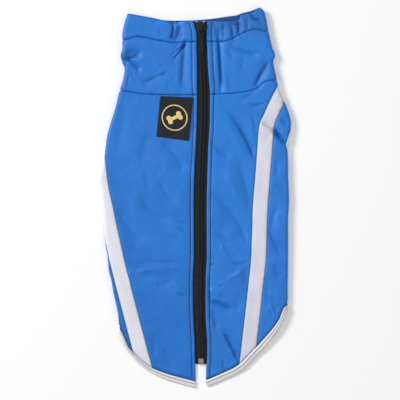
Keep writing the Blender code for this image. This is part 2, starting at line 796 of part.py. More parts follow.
def zip_pull():
    """The pull tab: a pin inside the slider's arch, two arms and a tab lying on the teeth."""
    pin = 0.5
    eye = 3.7
    tab = [(-2.4, -eye), (2.4, -eye), (2.1, -8), (2.9, -PULL_LENGTH + 4), (2.6, -PULL_LENGTH + 1.4),
           (1.4, -PULL_LENGTH), (-1.4, -PULL_LENGTH), (-2.6, -PULL_LENGTH + 1.4),
           (-2.9, -PULL_LENGTH + 4), (-2.1, -8)]
    low, high = -PULL_WALL / 2, PULL_WALL / 2
    parts = [plate(tab, low, high), block((-2.4, -pin, low), (2.4, pin, high)),
             block((-2.4, -eye - 0.4, low), (-1.3, pin, high)), block((1.3, -eye - 0.4, low), (2.4, pin, high))]
    y = SLIDER_Y - PIN_BACK
    z = teeth_height(SLIDER_Y) + PIN_RISE
    rest = teeth_height(y - PULL_LENGTH) + TEETH / 2 + SEAM + PULL_WALL / 2
    made = joined("zip_pull", BLACK_HARD, parts, (float(follow(ZIP, "middle", y)), y, z))
    made.data.transform(Matrix.Rotation(math.asin((z - rest) / PULL_LENGTH), 4, "X"))


def clear_scene():
    for item in list(bpy.data.objects):
        bpy.data.objects.remove(item)


def main():
    clear_scene()
    collar_band()
    neck_panel()
    back_panels()
    reflective_stripes()
    belly_panel()
    leg_bindings()
    hem_bindings()
    zip_halves()
    zip_end_box()
    neck_label()
    zip_slider()
    zip_pull()


main()
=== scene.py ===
"""A small dog's jacket of blue taffeta, lying flat, with a zip along its back.

Sizes are in millimetres until a mesh is made. X runs across the jacket, +Y towards the
collar and +Z up. The jacket is a flattened tube: an under layer on the table, a round fold
at each side and an upper layer that holds the zip. A place on the cloth is given by its
side (-1 left, 1 right), its reach (the distance along the cloth from the middle line X = 0,
outwards on the upper layer, round the fold and back along the under layer) and its level Y,
or by its place on the opened-out cloth: the distance along from the middle of the under
layer, and the level. Every cloth piece keeps that place as its "cut" map, which its weave
follows. The shape's sizes are those of the frame's solids.
"""

import math

import bmesh
import bpy
import numpy as np
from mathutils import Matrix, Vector, noise
from mathutils.geometry import delaunay_2d_cdt
from mathutils.kdtree import KDTree


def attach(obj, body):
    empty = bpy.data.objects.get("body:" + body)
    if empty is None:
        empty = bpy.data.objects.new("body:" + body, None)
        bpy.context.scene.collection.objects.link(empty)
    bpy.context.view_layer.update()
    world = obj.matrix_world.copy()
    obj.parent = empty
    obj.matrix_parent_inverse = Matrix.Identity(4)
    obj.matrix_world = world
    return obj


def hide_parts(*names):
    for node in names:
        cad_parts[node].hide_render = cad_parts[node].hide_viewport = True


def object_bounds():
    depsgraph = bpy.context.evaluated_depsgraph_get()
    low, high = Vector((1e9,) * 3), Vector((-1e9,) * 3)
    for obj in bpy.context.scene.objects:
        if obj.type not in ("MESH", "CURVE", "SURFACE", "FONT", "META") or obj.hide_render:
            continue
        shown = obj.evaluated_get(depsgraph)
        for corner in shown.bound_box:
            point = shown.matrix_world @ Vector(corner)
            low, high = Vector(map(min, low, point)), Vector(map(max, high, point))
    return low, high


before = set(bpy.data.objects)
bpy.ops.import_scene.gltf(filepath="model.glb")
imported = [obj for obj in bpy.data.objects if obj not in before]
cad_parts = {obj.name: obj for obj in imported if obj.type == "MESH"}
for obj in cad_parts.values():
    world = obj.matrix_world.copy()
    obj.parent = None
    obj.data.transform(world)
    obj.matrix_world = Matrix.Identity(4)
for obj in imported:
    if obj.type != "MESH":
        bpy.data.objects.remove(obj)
cad_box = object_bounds()

MM = 0.001
LEFT, RIGHT = -1, 1
SIDE_NAMES = ((LEFT, "left"), (RIGHT, "right"))

CLOTH = 1.5                # thickness of a cloth wall
STRIPE = 15.2              # width of the reflective stripes
BINDING = 6.0              # width of the bindings
TEETH_ROW = 3.0            # width of one row of teeth
LEG_HOLE = (25.0, 28.0)    # half width and half length of a leg hole
LEG_LEVEL = 60.0           # level of a leg hole's middle
LEG_REACH = {LEFT: 147.0, RIGHT: 123.4}   # and its reach
FOLD_BLEND = 26.0          # how far in from a side fold the upper layer slopes down
ZIP_TOP = 176.2            # upper end of the zip tapes
END_BOX_LOW = -166.0       # their lower end, at the end box
TEETH_ENDS = (-159.9, 174.4)   # levels of the lowest and of the highest teeth
TAPE_IN = 2.2              # how far the tapes reach in under the panels
PULL_LOW = 134.0           # level of the pull tab's lower end
COLLAR_LOW = 154.0         # and of the collar's lower edge beside the zip
END_SLANT = 0.4            # slope of the hem binding's ends beside the zip

# Spacing along a row of stitches or teeth, and the length, width and height of one.
COIL_TEETH = (1.5, (1.25, 3.5, 2.1))
COIL_STITCHES = (1.9, (1.5, 0.45, 0.4))
BINDING_STITCHES = (2.6, (2.0, 0.55, 0.5))
PLACKET_STITCHES = (2.4, (2.3, 0.9, 0.5))
LABEL_STITCHES = (2.2, (1.7, 0.4, 0.35))

GRID = 1.1                 # spacing of the points on a cloth piece
NECK_GRID = 0.85           # and on the collar and yoke
RIM = 0.6                  # width of the rounding along a cut edge
EDGE_FULL, RIM_FULL = 0.4, 0.93   # share of the wall's thickness at that edge, and where it ends
ROLL_STEP = 0.8            # and along a binding
ROLL_SIDES = 20            # points round a binding
ROLL_HIGH, ROLL_LOW = 1.25, 0.74  # how far a binding's faces stand from the middle of the cloth
STITCH_SHARE = 0.12        # a binding's stitching lies this share of its width in from its middle
UNDER_BAND = 1.5           # the cloth reaches this far in under a binding
CAVITY = 2.4               # depth of a sharp crease that gets the full painted shade
SHARP = 1.6                # width of a sharp crease's wall: wider ones get less painted shade
HIGH_LAY = 4.0             # where the upper layer lies above this, the under one is beneath it
UPPER_CLEAR = 1.7          # and its inner face stays this high there
INNER_SHADE = 1.0          # painted shade on the cloth's inner side, where 1 is that of a deep crease
FOLD_SHADE = 0.55          # painted shade on the left side fold
FOLD_SHADED = 3.2          # how far that painted shade reaches
HEM_SHADED = 2.2           # how far the painted shade beside the hem's binding reaches
PLACKET = (3.6, 5.1)       # how far the zip's topstitching lies in: on the back, and above it
FAR = 9.0                  # seams and stitching have no effect from here on

LABEL = np.array(((-38.5, 61.3), (-6, 56.9), (-1.9, 100.2), (-34.6, 101.6)))  # its corners
LABEL_WALL = 0.8
GOLD_WALL = 0.35           # thickness of the gold stitching
GOLD_RING = (13.0, 11.8)   # its outer and inner radius
GOLD_BONE = (11.0, 1.7, 2.5)   # length between its lobes' middles, half its shaft, a lobe's radius
BONE_TURN = 32.0           # in degrees

TABLE_DROP = 0.3           # the table's face lies this far under the jacket
TABLE_REACH = 3000.0       # half the table's width
VIEW_WIDTH = 400.0         # what the camera shows across
VIEW_MIDDLE = (5.0, -2.0)
SKY = 0.34                 # strength of the light from all round
LAMPS = (                  # place in metres from the jacket's middle, size in metres, power
    ("key", (-2.0, 1.05, 1.45), 0.7, 52),
    ("fill", (1.4, -0.9, 1.6), 1.6, 6),
    ("top", (0.0, 0.0, 2.2), 2.2, 9),
)


def table(names, text):
    """Columns of numbers by name, from a text with one row a line."""
    rows = [line.split("#")[0].split() for line in text.splitlines()]
    return dict(zip(names.split(), np.array([row for row in rows if row], float).T))


# Side folds as seen from above, their height, and the upper layer's height between them.
SIDES = table("y left right fold lay", """
    192 -67 69.0 6.0 4.2
    184 -67.5 70.0 6.6 4.6
    176 -70 71.5 6.8 5.0
    160 -72.5 74.7 6.8 5.2
    150 -72.2 77.2 6.8 5.2
    142 -74.3 79.8 6.8 5.2
    136 -73 78.2 6.8 5.1
    130 -70.2 79.2 6.8 5.0
    120 -71.6 81.6 6.8 5.0
    108 -75.2 84.3 6.6 4.8
    92 -79 91.0 6.4 4.6
    74 -84.5 95.95 6.2 4.6
    60 -88 94.0 6.2 4.6
    48 -90 92.6 6.2 4.6
    32 -93.5 93.1 6.2 4.4
    18 -95.85 93.3 6.2 4.4
    9 -94.3 93.5 6.2 4.3
    0 -93.3 93.8 6.2 4.2
    -22 -91.2 92.9 6.1 4.1
    -46 -89.5 92.9 6.0 4.0
    -58 -87.3 92.9 5.9 3.9
    -72 -86.2 92.8 5.7 3.7
    -84 -83 92.7 5.6 3.6
    -104 -80 92.4 5.2 3.1
    -120 -77.4 90.4 4.8 2.7
    -132 -75.6 88.6 4.7 2.4
    -140 -74.2 87.4 4.6 2.2
    -152 -70.6 86.0 4.4 1.9
    -164 -68.6 85.4 2.6 1.5
    -178 -67.6 85.0 1.7 0.75
    -190 -67.6 85.0 1.7 0.75
""")

# The zip: its middle line, half the opening between the panels, half the gap between the teeth.
ZIP = table("y middle half vee", """
    178 5.2 7.4 3.2
    174.5 5.5 6.6 1.6
    171 5.8 5.8 0.8
    165 6.3 4.7 0.15
    152 6.9 5.0 0.15
    128 7.6 5.5 0.15
    104 8.5 6.4 0.15
    80 8.4 6.4 0.15
    50 7.1 6.2 0.15
    20 5.8 6.5 0.15
    -10 5.3 6.4 0.15
    -56 5.5 6.4 0.15
    -80 4.4 6.4 0.15
    -98 4.3 6.3 0.15
    -124 4.8 6.1 0.15
    -144 6.0 6.2 0.15
    -162 6.1 6.0 0.15
    -172 5.8 5.3 0.15
    -190 5.8 5.2 0.15
""")

# Reach of each stripe's inner edge.
STRIPES = table("y left right", """
    124 103 84.0
    112 99 82.0
    100 96 76.1
    84 93.6 68.8
    74 92.6 64.4
    66 91.8 63.2
    40 89.4 61.4
    14 86.4 59.3
    -10 81.4 57.5
    -42 74.6 56.5
    -60 70.7 55.8
    -84 64.8 53.4
    -108 58.6 50.8
    -132 52.4 48.0
    -166 43.4 44.2
    -180 39.8 42.6
""")

# Edges and seams that run round the jacket: their level on the upper and on the under layer.
COLLAR_TOP = table("x upper under", """
    -67.5 184 184
    -56 182 182.5
    -43 179.5 180.2
    -30 176.8 177.6
    -20 175.4 177.2
    -12 176.3 177.2
    -4 176.5 177.4
    16 176.6 179
    30 175.8 181
    42 175.8 182.7
    46.5 182.5 184.5
    57 184.5 187.2
    64.5 189.85 189.85
    70 184.5 184.5
""")
COLLAR_SEAM = table("x upper under", """
    -72 157 157
    -57 161 158
    -36 157.5 159
    -20 155.2 160
    0 156 162
    28 156.4 163.5
    36 158.6 164
    45 163 165
    51 166.2 165.5
    61 168.4 166
    73 165.6 165.6
""")
NECK_SEAM = table("x upper under", """
    -75 107.5 107.5
    -48 103.7 107
    -20 102.7 107
    33 104.2 109
    50 106 111
    60 108.6 113
    70 116 115
    81 118 118
""")
HEM = table("x upper under", """
    -74.2 -138 -133
    -72.4 -143 -131
    -70.3 -147.4 -129
    -67.5 -152 -126
    -62.5 -158 -121
    -57.3 -164 -115
    -51 -169.9 -108
    -42 -175.8 -97
    -28.5 -181.8 -81
    -8 -187.6 -67
    4 -190.3 -63
    14 -187.8 -63
    28.2 -182 -67
    41.2 -176 -72
    50 -170 -77
    61.2 -158.2 -84
    72.2 -146 -92
    81 -134.2 -99
    84.8 -128 -102.5
    87.8 -121.6 -105
    90 -115.6 -107.5
    91.2 -111 -109
""")

# Width of the hem's binding that lies flat: less where its edge turns in beside the folds.
HEM_BAND = table("x width", """
    -100 6.0
    -82 4.0
    -73 2.4
    -61 3.4
    -45 4.8
    -30 6.0
    2 6.4
    40 6.8
    70 6.2
    83 4.6
    91 2.8
    99 4.0
    112 6.0
""")

# The largest folds of the upper layer, from end to end, as troughs (or ridges where negative).
FOLDS = table("x0 y0 x1 y1 width depth", """
    -16 176 -19 160 3.2 1.8
    -22 174 -22.5 161 3.0 1.2
    -66 146 -58 145 5.0 1.6
    -66 138 -57 128 3.0 1.4
    -50 115 -38 123 3.0 0.9
    -10 150 -10 112 4.0 0.8
    24.5 166 25.5 108 3.0 1.8
    43 182 44 168 2.6 1.2
    72 134 62 114 4.5 1.8
    37 151 60 144 3.5 1.0
    77 66 88 54 3.5 0.9
""")

# Creases of the upper layer: start, middle and end of each line, the widths of its steep and its
# soft wall, to the left and right of the way from start to end, and its depth (or height, where
# negative). Most steep walls face away from the light.
CREASES = table("x0 y0 x1 y1 x2 y2 steep soft depth", """
    # collar band, left of the zip
    -28 174.6 -21 174.9 -14 174.6 1.2 1.6 1.4
    -24.6 157 -21.2 166 -22 177 1.5 1.2 1.9
    -20 156 -17.5 165 -14.6 174.5 1.3 3.4 2.4
    -15.4 156.5 -14 160 -12.2 165 1.0 1.1 1.0
    -13.5 147 -10.6 153.5 -9.8 160 1.2 2.6 1.7
    -27 159 -24.5 159.3 -21 160 0.9 1.0 0.5
    -34.4 160 -34.7 166 -34 172 1.6 3.0 0.4
    -50 165 -50.5 171 -49.5 178 2.0 3.0 0.3
    # yoke, left of the zip
    -77 138.4 -64 139.2 -53 147 4.2 2.0 2.3
    -54.5 126 -60.6 134.2 -67.5 139.4 1.3 3.6 1.4
    -53 114 -37 121.2 -22 129.4 1.1 2.4 0.9
    -36 122.8 -30 123.4 -22 125 0.8 1.5 0.6
    -38 129.5 -31 132.5 -24 132 0.9 1.4 0.3
    -24 136 -16 144.6 -7.5 158 1.1 1.6 1.5
    -25 140.4 -18.5 146.6 -11.5 152 0.8 1.2 0.9
    -24 145 -19.5 149.6 -15 153 0.7 1.0 0.5
    -13.8 106 -12.2 130 -10.2 155 2.0 3.0 1.4
    -25.2 105 -27 111 -28.4 118 1.2 2.0 0.6
    -66.8 109 -66.6 117 -65.6 126 1.0 2.0 0.6
    -71 128 -69.4 133 -70 139 1.0 1.6 0.7
    -60 117 -63 122 -63.5 128 1.0 1.6 0.4
    # collar band, right of the zip
    17.2 154 16.6 165 16.6 175 1.0 1.5 0.6
    20.5 158 20.2 167 21 175 0.9 1.4 0.3
    28.6 156 28.4 166 28.2 177 1.2 2.2 1.1
    38.8 154.5 37.6 163 36.4 175 1.5 2.2 1.5
    44 161 43.6 169 43.4 179 1.3 1.8 1.4
    36 158.6 40 156.8 44 157.8 0.9 1.1 0.7
    32 172.6 38 173.4 45 172.6 1.0 1.2 1.0
    53.4 166 52 173.5 52.8 182 1.2 2.0 0.7
    69 178.8 59.6 178.2 54.6 187 1.2 2.0 1.6
    64 171 67 174.5 70 175.5 1.2 1.8 0.4
    # yoke, right of the zip
    27.2 102 24.8 133 22.6 168 1.3 2.4 2.2
    26.2 104 25.8 137 25 170 3.0 3.0 -0.9
    25.4 156 27.5 156 30 156.4 0.9 0.9 1
    39 139 34.6 143.4 31.4 150 1.5 3.0 0.8
    36 151.6 47 147 64 143 1.1 2.4 0.9
    44.5 124 48 136 45.6 145 3.0 4.0 0.7
    36.6 105 34.2 115 32.6 126 1.6 3.0 0.5
    44 159.4 51 158.6 55 161 1.0 2.0 0.4
    58.6 109 66.2 124 77.5 141 1.4 4.0 1.1
    61 112.5 63.4 120 66.5 128 0.9 1.2 0.7
    42 98.6 52.5 101.6 61.5 109.5 1.1 2.0 0.9
    70 146 72.5 150 73.5 156 1.2 2.0 0.4
    # body, left of the zip
    -79 36 -74 68 -69.5 102 7.0 9.0 1.1
    -54 34 -50.5 52 -45.5 68 6.0 8.0 1
    -13 22 -18 41 -36 58 5.2 8.0 1.6
    -14 -3 -27 2 -35 23 4.8 7.5 1.6
    -22 -25 -41 -14.5 -58 4 5.4 8.0 1.6
    -43 -46 -63 -33 -78.5 -6 5.8 9.0 1.6
    -34 -66 -53 -52 -71 -40 4.6 7.0 1.1
    -30 38 -27 22 -22 10 5.0 5.0 -0.6
    -74 14 -62 -3 -46 -14 5.0 5.0 -0.7
    -46.8 5 -49.4 18 -52.4 32 0.9 1.4 0.5
    -45 6 -46.8 17 -49 30 0.8 1.2 0.4
    -66 -66.5 -42 -64.3 -14 -65.4 2.8 4.0 0.7
    -64 -77 -40 -70.6 -12 -71.4 1.8 2.2 -0.8
    -60 -81 -40 -78 -14 -77 2.4 3.6 0.6
    -63.5 -90 -64.6 -78 -59 -68.6 1.7 2.2 -0.7
    -34 -92 -28 -85 -21 -79 4.2 5.0 1.1
    -35 -92 -36 -87 -36.4 -82 1.8 2.4 0.6
    -18 -93.4 -13.6 -96.6 -8.5 -98.4 0.9 1.5 0.9
    -18.5 -28 -14 -31 -9.5 -34 0.9 1.4 0.9
    -14 -45 -11 -48 -8.5 -52 0.9 1.4 0.6
    -17 -22 -13 -24 -9 -26 0.8 1.3 0.6
    -26 -36 -20 -38.4 -13 -41 1.4 2.0 0.5
    -40 -160 -41.4 -147 -42 -132 4.0 5.0 1.1
    -24 -170 -28 -158 -31 -147 3.4 4.4 0.8
    -14 -172 -12 -176 -11 -181 0.9 1.3 0.6
    -40 -162 -38.4 -165 -37.4 -169 0.8 1.1 0.7
    # body, right of the zip
    52 92.2 62 93 72 95.2 1.0 2.0 1.1
    61.5 31 49.5 62 29.5 92 3.6 7.0 2.3
    60.4 35 50.4 60 37 81 1.2 2.0 1.0
    36 38 24.6 48.6 12.5 62 3.8 6.0 1.5
    57 -26 51 12 40.5 47 4.8 7.0 1.9
    54 -54 39 -17 11.5 6.5 5.4 8.0 2.2
    46 -5 39 9 29 27 5.0 5.0 -0.8
    61.8 54 59.2 72 56.6 91 1.3 2.0 0.7
    40 -68 31 -57 24.6 -42 1.4 2.0 -1.2
    33 -46 38 -54 47 -61 2.4 3.8 0.6
    16 -35 27 -39.6 37 -49 2.2 4.0 1.1
    13 -12 19 -22 31 -27 3.6 4.4 -0.9
    15.4 -66.4 17 -66.6 19.2 -67.4 1.1 1.3 1.0
    24.6 -86.8 26 -87.4 27.8 -88.4 1.1 1.3 1.2
    36 -64 45 -65.4 55 -62.6 1.6 2.6 0.8
    30 -81 38 -78.4 48 -72 2.0 2.6 -1.1
    50 -90 50.4 -79 51.6 -68 2.6 3.6 1.1
    12 -88 18 -93.5 28 -94 2.4 3.0 -0.9
    16 -111 14.6 -93 13.6 -73 2.2 2.6 1.6
    12.4 -105.6 25 -105.6 39.5 -113.4 2.0 3.2 2.4
    22.5 -132 18.6 -120 14.4 -110 2.2 3.0 1.9
    45 -168 36 -148 26 -130 1.2 2.2 2.0
    28.8 -175 28.3 -167 28 -159 0.9 1.4 1.0
    26.6 -174 24.6 -168.6 21.4 -162 0.9 1.2 0.6
    38 -160 35 -165 33.6 -171 0.9 1.3 0.6
    42 -92 43.5 -104 40 -118 3.8 5.0 0.9
    # side piece and stripe on the right
    94 49.5 86 59 77 71 1.9 1.6 2.2
    86 58.5 81 65 76 72 2.0 1.6 2.1
    79 67.6 71.5 72 64.5 76.2 1.0 1.2 1.6
    78 70.8 72 74.6 66 78 0.8 1.0 0.8
    92 99 88.4 95 84 94 1.2 2.0 0.9
    91 84 86.6 86.4 82.5 85 1.3 2.0 1.0
    94 73 89 74.4 86 81 1.5 2.0 1.0
    81 20 82 30 80 39 3.2 3.4 1.1
    90 6 84 11.4 77.6 12 2.4 3.0 0.9
    74 -36 79 -18 84 -2 3.6 4.4 1.3
    88 -60 79 -44 73.2 -27 2.8 4.0 1.7
    91 -34 84.6 -26 82 -12 2.4 3.0 -0.8
    86 -82 81 -73 78 -64 2.4 3.4 1.1
    73 -110 72 -92 71 -75 3.4 4.4 1.2
    84 -114 79 -106 75.4 -96 2.2 3.0 1.1
    78 -119 75.6 -115 74.6 -110 0.9 1.3 0.9
    81.4 -117 79.6 -113 78.8 -108 0.9 1.3 0.9
    # side piece on the left
    -82 -94 -77.6 -118 -69.5 -143 1.8 1.8 1.3
""")

# Creases of the under layer.
UNDER_CREASES = table("x0 y0 x1 y1 x2 y2 steep soft depth", """
    -18 161 -21 168 -20 178 1.6 2.4 0.8
    12 162 15 170 14 178 1.4 2.2 0.8
    45 164 43 173 44 182 1.4 2.4 0.7
    -44 118 -42 138 -50 154 2.2 4.0 1.0
    -13 114 -10 136 -14 156 1.8 3.6 1.0
    24 114 26 138 22 160 2.4 4.0 0.9
    55 118 52 136 58 153 2.0 3.4 0.9
    12 58 14 84 4 106 3.0 5.0 1.0
    -20 9 4 14 24 32 3.2 5.0 1.0
    -50 -26 -48 2 -62 26 3.2 5.0 1.0
    54 -42 48 -8 58 20 3.0 5.0 1.0
    -4 -46 2 -24 -8 -2 2.8 4.4 0.8
    28 -54 36 -36 30 -16 2.6 4.2 0.8
    -36 -68 -30 -52 -34 -36 2.4 4.0 0.8
    -58 92 -44 96 -30 94 1.8 3.2 0.8
    30 100 44 94 52 84 1.8 3.4 0.9
""")


# ---- Shape of the cloth ----

def follow(columns, name, where):
    """A smooth curve through a table's column that never swings past its points."""
    first = next(iter(columns))
    order = np.argsort(columns[first])
    x, y = columns[first][order], columns[name][order]
    gap = np.diff(x)
    slope = np.diff(y) / gap
    before, after = slope[:-1], slope[1:]
    steady = before * after > 0
    total = np.where(steady, before + after, 1.0)
    inner = np.where(steady, 2 * before * after / total, 0.0)
    tangent = np.concatenate(([slope[0]], inner, [slope[-1]]))
    at = np.clip(where, x[0], x[-1])
    k = np.clip(np.searchsorted(x, at) - 1, 0, len(gap) - 1)
    t = (at - x[k]) / gap[k]
    rise = (1 + 2 * t) * (1 - t) ** 2 * y[k] + t * t * (3 - 2 * t) * y[k + 1]
    return rise + gap[k] * (t * (1 - t) ** 2 * tangent[k] - t * t * (1 - t) * tangent[k + 1])


def fold_round(side, y):
    """Reach where the side fold begins at level y, and the radius of the wall's middle there."""
    edge = np.where(side < 0, -follow(SIDES, "left", y), follow(SIDES, "right", y))
    outer = follow(SIDES, "fold", y) / 2
    return edge - outer, outer - CLOTH / 2


def ease(value):
    """0 to 1 with level ends, for a value from 0 to 1."""
    part = np.clip(value, 0, 1)
    return part * part * (3 - 2 * part)


def fold_lift(x, y):
    """How much the folds raise the upper layer at a point."""
    lift = np.zeros_like(x, dtype=float)
    for x0, y0, x1, y1, width, depth in zip(*FOLDS.values()):
        along = np.array((x1 - x0, y1 - y0))
        part = np.clip(((x - x0) * along[0] + (y - y0) * along[1]) / (along @ along), 0, 1)
        away = np.hypot(x - x0 - part * along[0], y - y0 - part * along[1])
        lift -= depth * np.exp(-(away / width) ** 2)
    return lift


def upper_height(side, reach, y):
    """Height of the middle of the upper layer's wall."""
    centre, radius = fold_round(side, y)
    lay = follow(SIDES, "lay", y)
    near = 1 - ease((centre - reach) / FOLD_BLEND)
    top = 2 * radius + CLOTH / 2
    lift = fold_lift(side * reach, y) * ease((centre - reach) / 6)
    lowest = np.minimum(lay, 1.5 * CLOTH + 0.3)
    return np.maximum(lay + (top - lay) * near + lift, lowest)


def unroll(side, reach, y):
    """Distance along the cloth from the middle of the under layer, left negative."""
    centre, radius = fold_round(side, y)
    return side * (2 * centre + math.pi * radius - reach)


def rolled(along, y):
    """Side and reach of a place on the opened-out cloth."""
    side = np.where(along < 0, LEFT, RIGHT)
    return side, side * unroll(side, 0, y) - np.abs(along)


def past_fold(along, y):
    """Side of a place on the opened-out cloth, and how far it is past its fold's middle."""
    side, reach = rolled(along, y)
    centre, radius = fold_round(side, y)
    return side, reach - centre - math.pi / 2 * radius


def on_side(side, reach, y):
    """Places (along, y) on the opened-out cloth, in rows."""
    return np.stack((unroll(side, reach, y), y), axis=1)


def middle_of_wall(along, y):
    """Point in the middle of the cloth's wall, from its unrolled distance and level."""
    side, reach = rolled(along, y)
    centre, radius = fold_round(side, y)
    turn = np.clip((reach - centre) / radius, 0, math.pi)
    under = np.maximum(reach - centre - math.pi * radius, 0)
    x = side * (np.minimum(reach, centre) + radius * np.sin(turn) - under)
    round_height = CLOTH / 2 + radius * (1 + np.cos(turn))
    z = np.where(reach <= centre, upper_height(side, reach, y), round_height)
    return np.stack((x, y, z), axis=-1)


def wall_normal(along, y):
    """Direction out of the jacket, square to its wall."""
    step = 0.2
    across = middle_of_wall(along + step, y) - middle_of_wall(along - step, y)
    down = middle_of_wall(along, y + step) - middle_of_wall(along, y - step)
    normal = np.cross(down, across)
    return normal / np.linalg.norm(normal, axis=-1, keepdims=True)


def zip_reach(side, y):
    """Reach of a back panel's edge beside the zip."""
    return side * follow(ZIP, "middle", y) + follow(ZIP, "half", y)


def vee_reach(side, y):
    """Reach of the teeth's inner edge."""
    return side * follow(ZIP, "middle", y) + follow(ZIP, "vee", y)


def stripe_reach(side, y):
    """Reach of a stripe's inner edge."""
    return follow(STRIPES, "left" if side < 0 else "right", y)


# ---- Creases, puckers and the cloth's unevenness, as heights out from the wall ----

def crease_height(creases, x, y):
    """Troughs with a steep and a soft wall, and how much painted shade they get: sharp ones most.
    """
    height, shade = np.zeros_like(x, dtype=float), np.zeros_like(x, dtype=float)
    t = np.linspace(0, 1, 17)[:, None]
    for x0, y0, x1, y1, x2, y2, steep, soft, depth in zip(*creases.values()):
        ends = np.array(((x0, y0), (2 * x1 - (x0 + x2) / 2, 2 * y1 - (y0 + y2) / 2), (x2, y2)))
        line = (1 - t) ** 2 * ends[0] + 2 * t * (1 - t) * ends[1] + t * t * ends[2]
        reach = 4 * max(steep, soft)
        low, high = line.min(axis=0) - reach, line.max(axis=0) + reach
        near = np.flatnonzero((x > low[0]) & (x < high[0]) & (y > low[1]) & (y < high[1]))
        if not len(near):
            continue
        away, part = distance_along(np.stack((x[near], y[near]), axis=1), line)
        # a deep, short crease fades over more of its length
        ending = min(0.38, max(0.3, 3.5 * abs(depth) / np.hypot(x2 - x0, y2 - y0)))
        fade = ease(part / ending) * ease((1 - part) / ending)
        # its section is a trough with a nearly sharp bottom, and a low swell beyond its steep wall
        trough = np.exp(1.5 * (0.3 - np.hypot(away / np.where(away > 0, steep, soft), 0.3)))
        ridge = 0.22 * np.exp(-((away - 2.4 * steep) / (1.1 * steep)) ** 2)
        height[near] -= depth * fade * (trough - ridge)
        # painted shade in the trough, most where its walls are sharp
        shade[near] += max(depth, 0) * fade * trough * min(1, SHARP / min(steep, soft)) ** 2
    return height, shade


def distance_along(points, line):
    """Distance of points from a polyline, positive to its left, and the share passed there."""
    run = np.diff(line, axis=0)
    length = np.maximum(np.hypot(*run.T), 1e-6)
    past = points[:, None, :] - line[None, :-1, :]
    part = np.clip((past * run).sum(axis=2) / length ** 2, 0, 1)
    away = np.hypot(*(past - part[..., None] * run).transpose(2, 0, 1))
    best = away.argmin(axis=1)
    rows = np.arange(len(points))
    beside = past[rows, best]
    left = np.sign(run[best, 0] * beside[:, 1] - run[best, 1] * beside[:, 0])
    known = passed(line)
    return left * away[rows, best], (known[best] + part[rows, best] * length[best]) / known[-1]


def ripple(*places):
    """Smooth random values, about -1 to 1, at places given by three coordinates."""
    return np.array([noise.noise(Vector(place)) for place in np.broadcast(*places)])


def all_creases(along, y):
    """Height and painted shade of both layers' creases, and how far a place is on the under one, 0
    to 1.
    """
    side, reach = rolled(along, y)
    centre, radius = fold_round(side, y)
    under = ease((reach - centre - math.pi * radius) / 5)
    upper, below = crease_height(CREASES, side * reach, y), crease_height(UNDER_CREASES, along, y)
    height, shade = (a * (1 - under) + b * under for a, b in zip(upper, below))
    return height, shade, under


def cloth_height(along, y):
    """Height of the relief of the blue cloth and what lies on it."""
    height, _, under = all_creases(along, y)
    waves = sum(share * ripple(along / size, y / size, seed)
                for share, size, seed in ((0.35, 26, 3.1), (0.2, 11, 8.7), (0.05, 3.6, 5.3)))
    return height + waves * (1 - 0.5 * under)


def tree_of(points):
    """A search tree of places on the opened-out cloth."""
    tree = KDTree(len(points))
    for i, point in enumerate(points):
        tree.insert((*point, 0), i)
    tree.balance()
    return tree


def distance_from(lines, along, y):
    """Distance of places on the cloth from the nearest of some lines."""
    tree = tree_of(np.vstack([spaced(line, 0.25) for line in lines]))
    return np.array([tree.find((a, b, 0))[2] for a, b in zip(along, y)])


def seam_height(along, y, edges):
    """Dip and puckers beside each seam or edge, given as (points, dip, pucker)."""
    height = np.zeros_like(along)
    for index, (line, dip, pucker) in enumerate(edges):
        tree = tree_of(spaced(line, 0.5))
        place, away = np.array([tree.find((a, b, 0))[1:] for a, b in zip(along, y)]).T
        near = away < FAR
        place, away = place[near] / 2, away[near]
        # fine and coarse puckers
        wave = ripple(place / 2.4, index * 7.7, 0.4) + 0.6 * ripple(place / 5.5, index * 3.3, 2.4)
        height[near] += pucker * wave * np.exp(-away / 2.6) - dip * np.exp(-(away / 1.3) ** 2)
    return height


def placket(y):
    """How far the zip's topstitching lies from a panel's edge: it widens from level 92 to 118."""
    low, high = PLACKET
    return low + (high - low) * ease((y - 92) / 26)


def on_collar(y):
    """0 below the collar, 1 on it, where the topstitching is less pulled."""
    return ease((y - COLLAR_LOW) / 8)


def placket_height(along, y):
    """The turned edge beside the zip: a flat band, a line of topstitching and its puckers."""
    side, reach = rolled(along, y)
    away = reach - zip_reach(side, y) - placket(y)
    pull, slow = ripple(y / 2.6, side * 4.0, 1.2), ripple(y / 9.0, side * 6.0, 4.2)
    near = np.exp(-(away / 2.6) ** 2)
    groove = np.exp(1.2 * (0.3 - np.hypot(away, 0.3)))
    swell = ease((away + placket(y)) / 1.2) * (1 - ease((away + 1.3) / 1.3))
    height = 0.25 * swell - (0.7 + 0.2 * pull) * groove + near * (0.2 * pull + 0.25 * slow)
    return height * (1 - 0.6 * on_collar(y))


# ---- Outlines on the opened-out cloth ----

def passed(line):
    """Distance passed along a line at each of its points."""
    return np.concatenate(([0], np.cumsum(np.hypot(*np.diff(line, axis=0).T))))


def points_at(places, known, line):
    """Points of a line at some places, where its own points have known ones."""
    return np.stack([np.interp(places, known, line[:, axis]) for axis in (0, 1)], axis=1)


def spaced(line, step):
    """Points along a polyline at an even spacing close to a step."""
    known = passed(line)
    count = max(2, math.ceil(known[-1] / step) + 1)
    return points_at(np.linspace(0, known[-1], count), known, line)


def spaced_ring(ring, step):
    """The same round a closed ring, ending one step short of its start."""
    return spaced(np.vstack((ring, ring[:1])), step)[:-1]


def fold_bend(columns, side):
    """Points (along, y) where an edge goes round a side fold, from the upper to the under layer."""
    turn = np.linspace(0, math.pi, 9)
    y = np.full(len(turn), columns["upper"][0 if side < 0 else -1])
    for _ in range(25):
        centre, radius = fold_round(side, y)
        x = side * (centre + radius * np.sin(turn))
        upper, under = follow(columns, "upper", x), follow(columns, "under", x)
        y = upper + turn / math.pi * (under - upper)
    return on_side(side, centre + radius * turn, y), centre[0], centre[-1]


